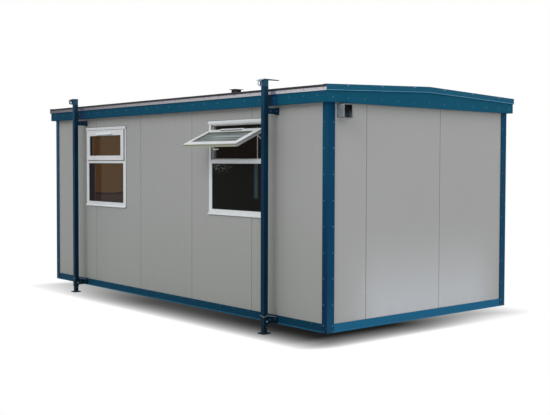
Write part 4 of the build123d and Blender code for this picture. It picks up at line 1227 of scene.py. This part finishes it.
def doorSeal():
    # Dark gasket carried round in the gap beside the leaf.
    size, (x, y, z), half = doorSet["seal"], (leafLow + leafHigh) / 2, (leafHigh - leafLow) / 2
    section = [(0.0004, -size), (0.0026, -size), (0.0026, -0.001), (0.0015, 0), (0.0004, -0.001)]
    turn = np.stack([(-1, 0, 0), (0, 0, 1), (0, 1, 0)], 1)
    return framedShape(section, half[0], half[2]).placed((x, leafHigh[1] - 0.001, z), turn)


def doorDrips():
    # Weather bars over the head of the frame and across the foot of the leaf, falling outwards.
    reach, (headRise, footRise) = doorSet["dripReach"], doorSet["dripRise"]
    section = [(0, 0), (reach, -0.012), (reach, -0.017), (reach - 0.005, -0.017), (0.004, -0.006), (0, -0.010)]
    head = [(x, backFace, doorHigh[2] + headRise) for x in (doorLow[0], doorHigh[0])]
    foot = [(x, leafHigh[1], leafLow[2] + footRise) for x in (leafLow[0] + 0.01, leafHigh[0] - 0.01)]
    return joined([sweptShape(section, ends, (0, 1, 0)) for ends in (head, foot)])


def doorCylinder():
    # Round lock cylinder below the lever, turned about its axis, with a key slot.
    low, high = corners("door_handle")
    r, level = doorSet["cylinder"], (low[2] + high[2]) / 2 - doorSet["cylinderDrop"]
    face = turnedShape([(0, 0), (r, 0), (r, 0.0035), (r * 0.88, 0.005), (r * 0.3, 0.005), (0, 0.005)], 20)
    slot = softBar((0, -0.0035, 0.0051), (0, 0.0035, 0.0051), 0.0008, 0.0004, 0.0002)
    x, y = high[0] - doorSet["cylinderInset"], leafHigh[1] + doorSet["cylinderOut"]
    return (face + slot).placed((x, y, level), facing["+y"])


addPiece("doorHinges", doorHinges(), "steel_fitting", 30)
addPiece("doorSeal", doorSeal(), "rubber")
addPiece("doorDrips", doorDrips(), "door_paint")
addPiece("doorCylinder", doorCylinder(), "steel_fitting", 30)

print("floor and light")
floorSet = {"reach": 60.0, "pale": (238, 238, 240), "shaded": (88, 86, 82),
            "half": (endHigh[0] - cabinX, postHigh[1] - cabinY - 0.012), "shadeReach": 0.48, "inward": 0.30,
            "deepest": 0.02, "power": 3.4, "ownLight": 0.55, "endStretch": 1.75, "endLift": 0.20,
            "middleLift": 0.09, "farLift": 0.85}


def floorFinish():
    # Pale ground with a soft shade round the cabin: its brightness is deepest + (1 - deepest) t^power, where t
    # runs from 0 under the walls to 1 a short way outside, sooner at the ends. It fades towards the far
    # corners.
    finish = Finish("floor")
    x, y = finish.axes()[:2]
    along, across = x - cabinX, y - cabinY
    (halfX, halfY), inward, deepest = (floorSet[key] for key in ("half", "inward", "deepest"))
    outX, outY = (along.size() - halfX) * floorSet["endStretch"], across.size() - halfY
    outside = (outX.most(0.0) ** 2.0 + outY.most(0.0) ** 2.0) ** 0.5 + outX.most(outY).least(0.0)
    t = ((outside + inward) * (1 / (floorSet["shadeReach"] + inward))).most(0.0).least(1.0)
    level = deepest + (1.0 - deepest) * t ** floorSet["power"]
    for share in (along.size().rise(halfX - 0.3, halfX) * floorSet["endLift"],
                  along.rise(2.4, -0.6) * floorSet["middleLift"],
                  along.rise(-0.4, -3.3).most(across.rise(-0.3, 1.5)) * floorSet["farLift"]):
        level = level + (1.0 - level) * share
    ground = finish.node("ShaderNodeBsdfDiffuse", None, {
        "Color": finish.mix(outside.rise(-0.1, 0.5), floorSet["shaded"], floorSet["pale"])})
    white = finish.node("ShaderNodeEmission", None, {
        "Color": finish.mix(level, (0, 0, 0), (255, 255, 255)), "Strength": 1.0})
    share = (floorSet["ownLight"] + (1.0 - floorSet["ownLight"]) * t) * finish.plainRays()
    return finish.finished(finish.node("ShaderNodeMixShader", None, {0: share, 1: ground, 2: white}))


reach = floorSet["reach"]
floorMesh = bpy.data.meshes.new("floor")
floorMesh.from_pydata([(-reach, -reach, 0), (reach, -reach, 0), (reach, reach, 0), (-reach, reach, 0)], [],
                      [(0, 1, 2, 3)])
floorMesh.materials.append(floorFinish())
floor = bpy.data.objects.new("floor", floorMesh)
scene.collection.objects.link(floor)

lightSet = {"world": 0.25, "tint": (0.96, 0.975, 1.0, 1.0),
            "front": {"strength": 1.15, "spread": 30.0, "elevation": 35.0, "azimuth": 15.0},
            "end": {"strength": 1.9, "spread": 100.0, "elevation": 40.0, "azimuth": 80.0}}
scene.world = bpy.data.worlds.new("studio")
sky = Finish("studio", scene.world)
dim = sky.node("ShaderNodeBackground", None, {"Color": lightSet["tint"], "Strength": lightSet["world"]})
white = sky.node("ShaderNodeBackground", None, {"Color": (1, 1, 1, 1), "Strength": 1.0})
sky.finished(sky.node("ShaderNodeMixShader", None, {0: sky.plainRays(), 1: dim, 2: white}),
             "ShaderNodeOutputWorld")
for name in ("front", "end"):
    lamp = lightSet[name]
    lampData = bpy.data.lights.new(name + "Light", "SUN")
    lampData.energy = lamp["strength"]
    lampData.angle = math.radians(lamp["spread"])
    light = bpy.data.objects.new(name + "Light", lampData)
    light.rotation_euler = (math.radians(90 - lamp["elevation"]), 0, math.radians(lamp["azimuth"]))
    scene.collection.objects.link(light)

print("done")
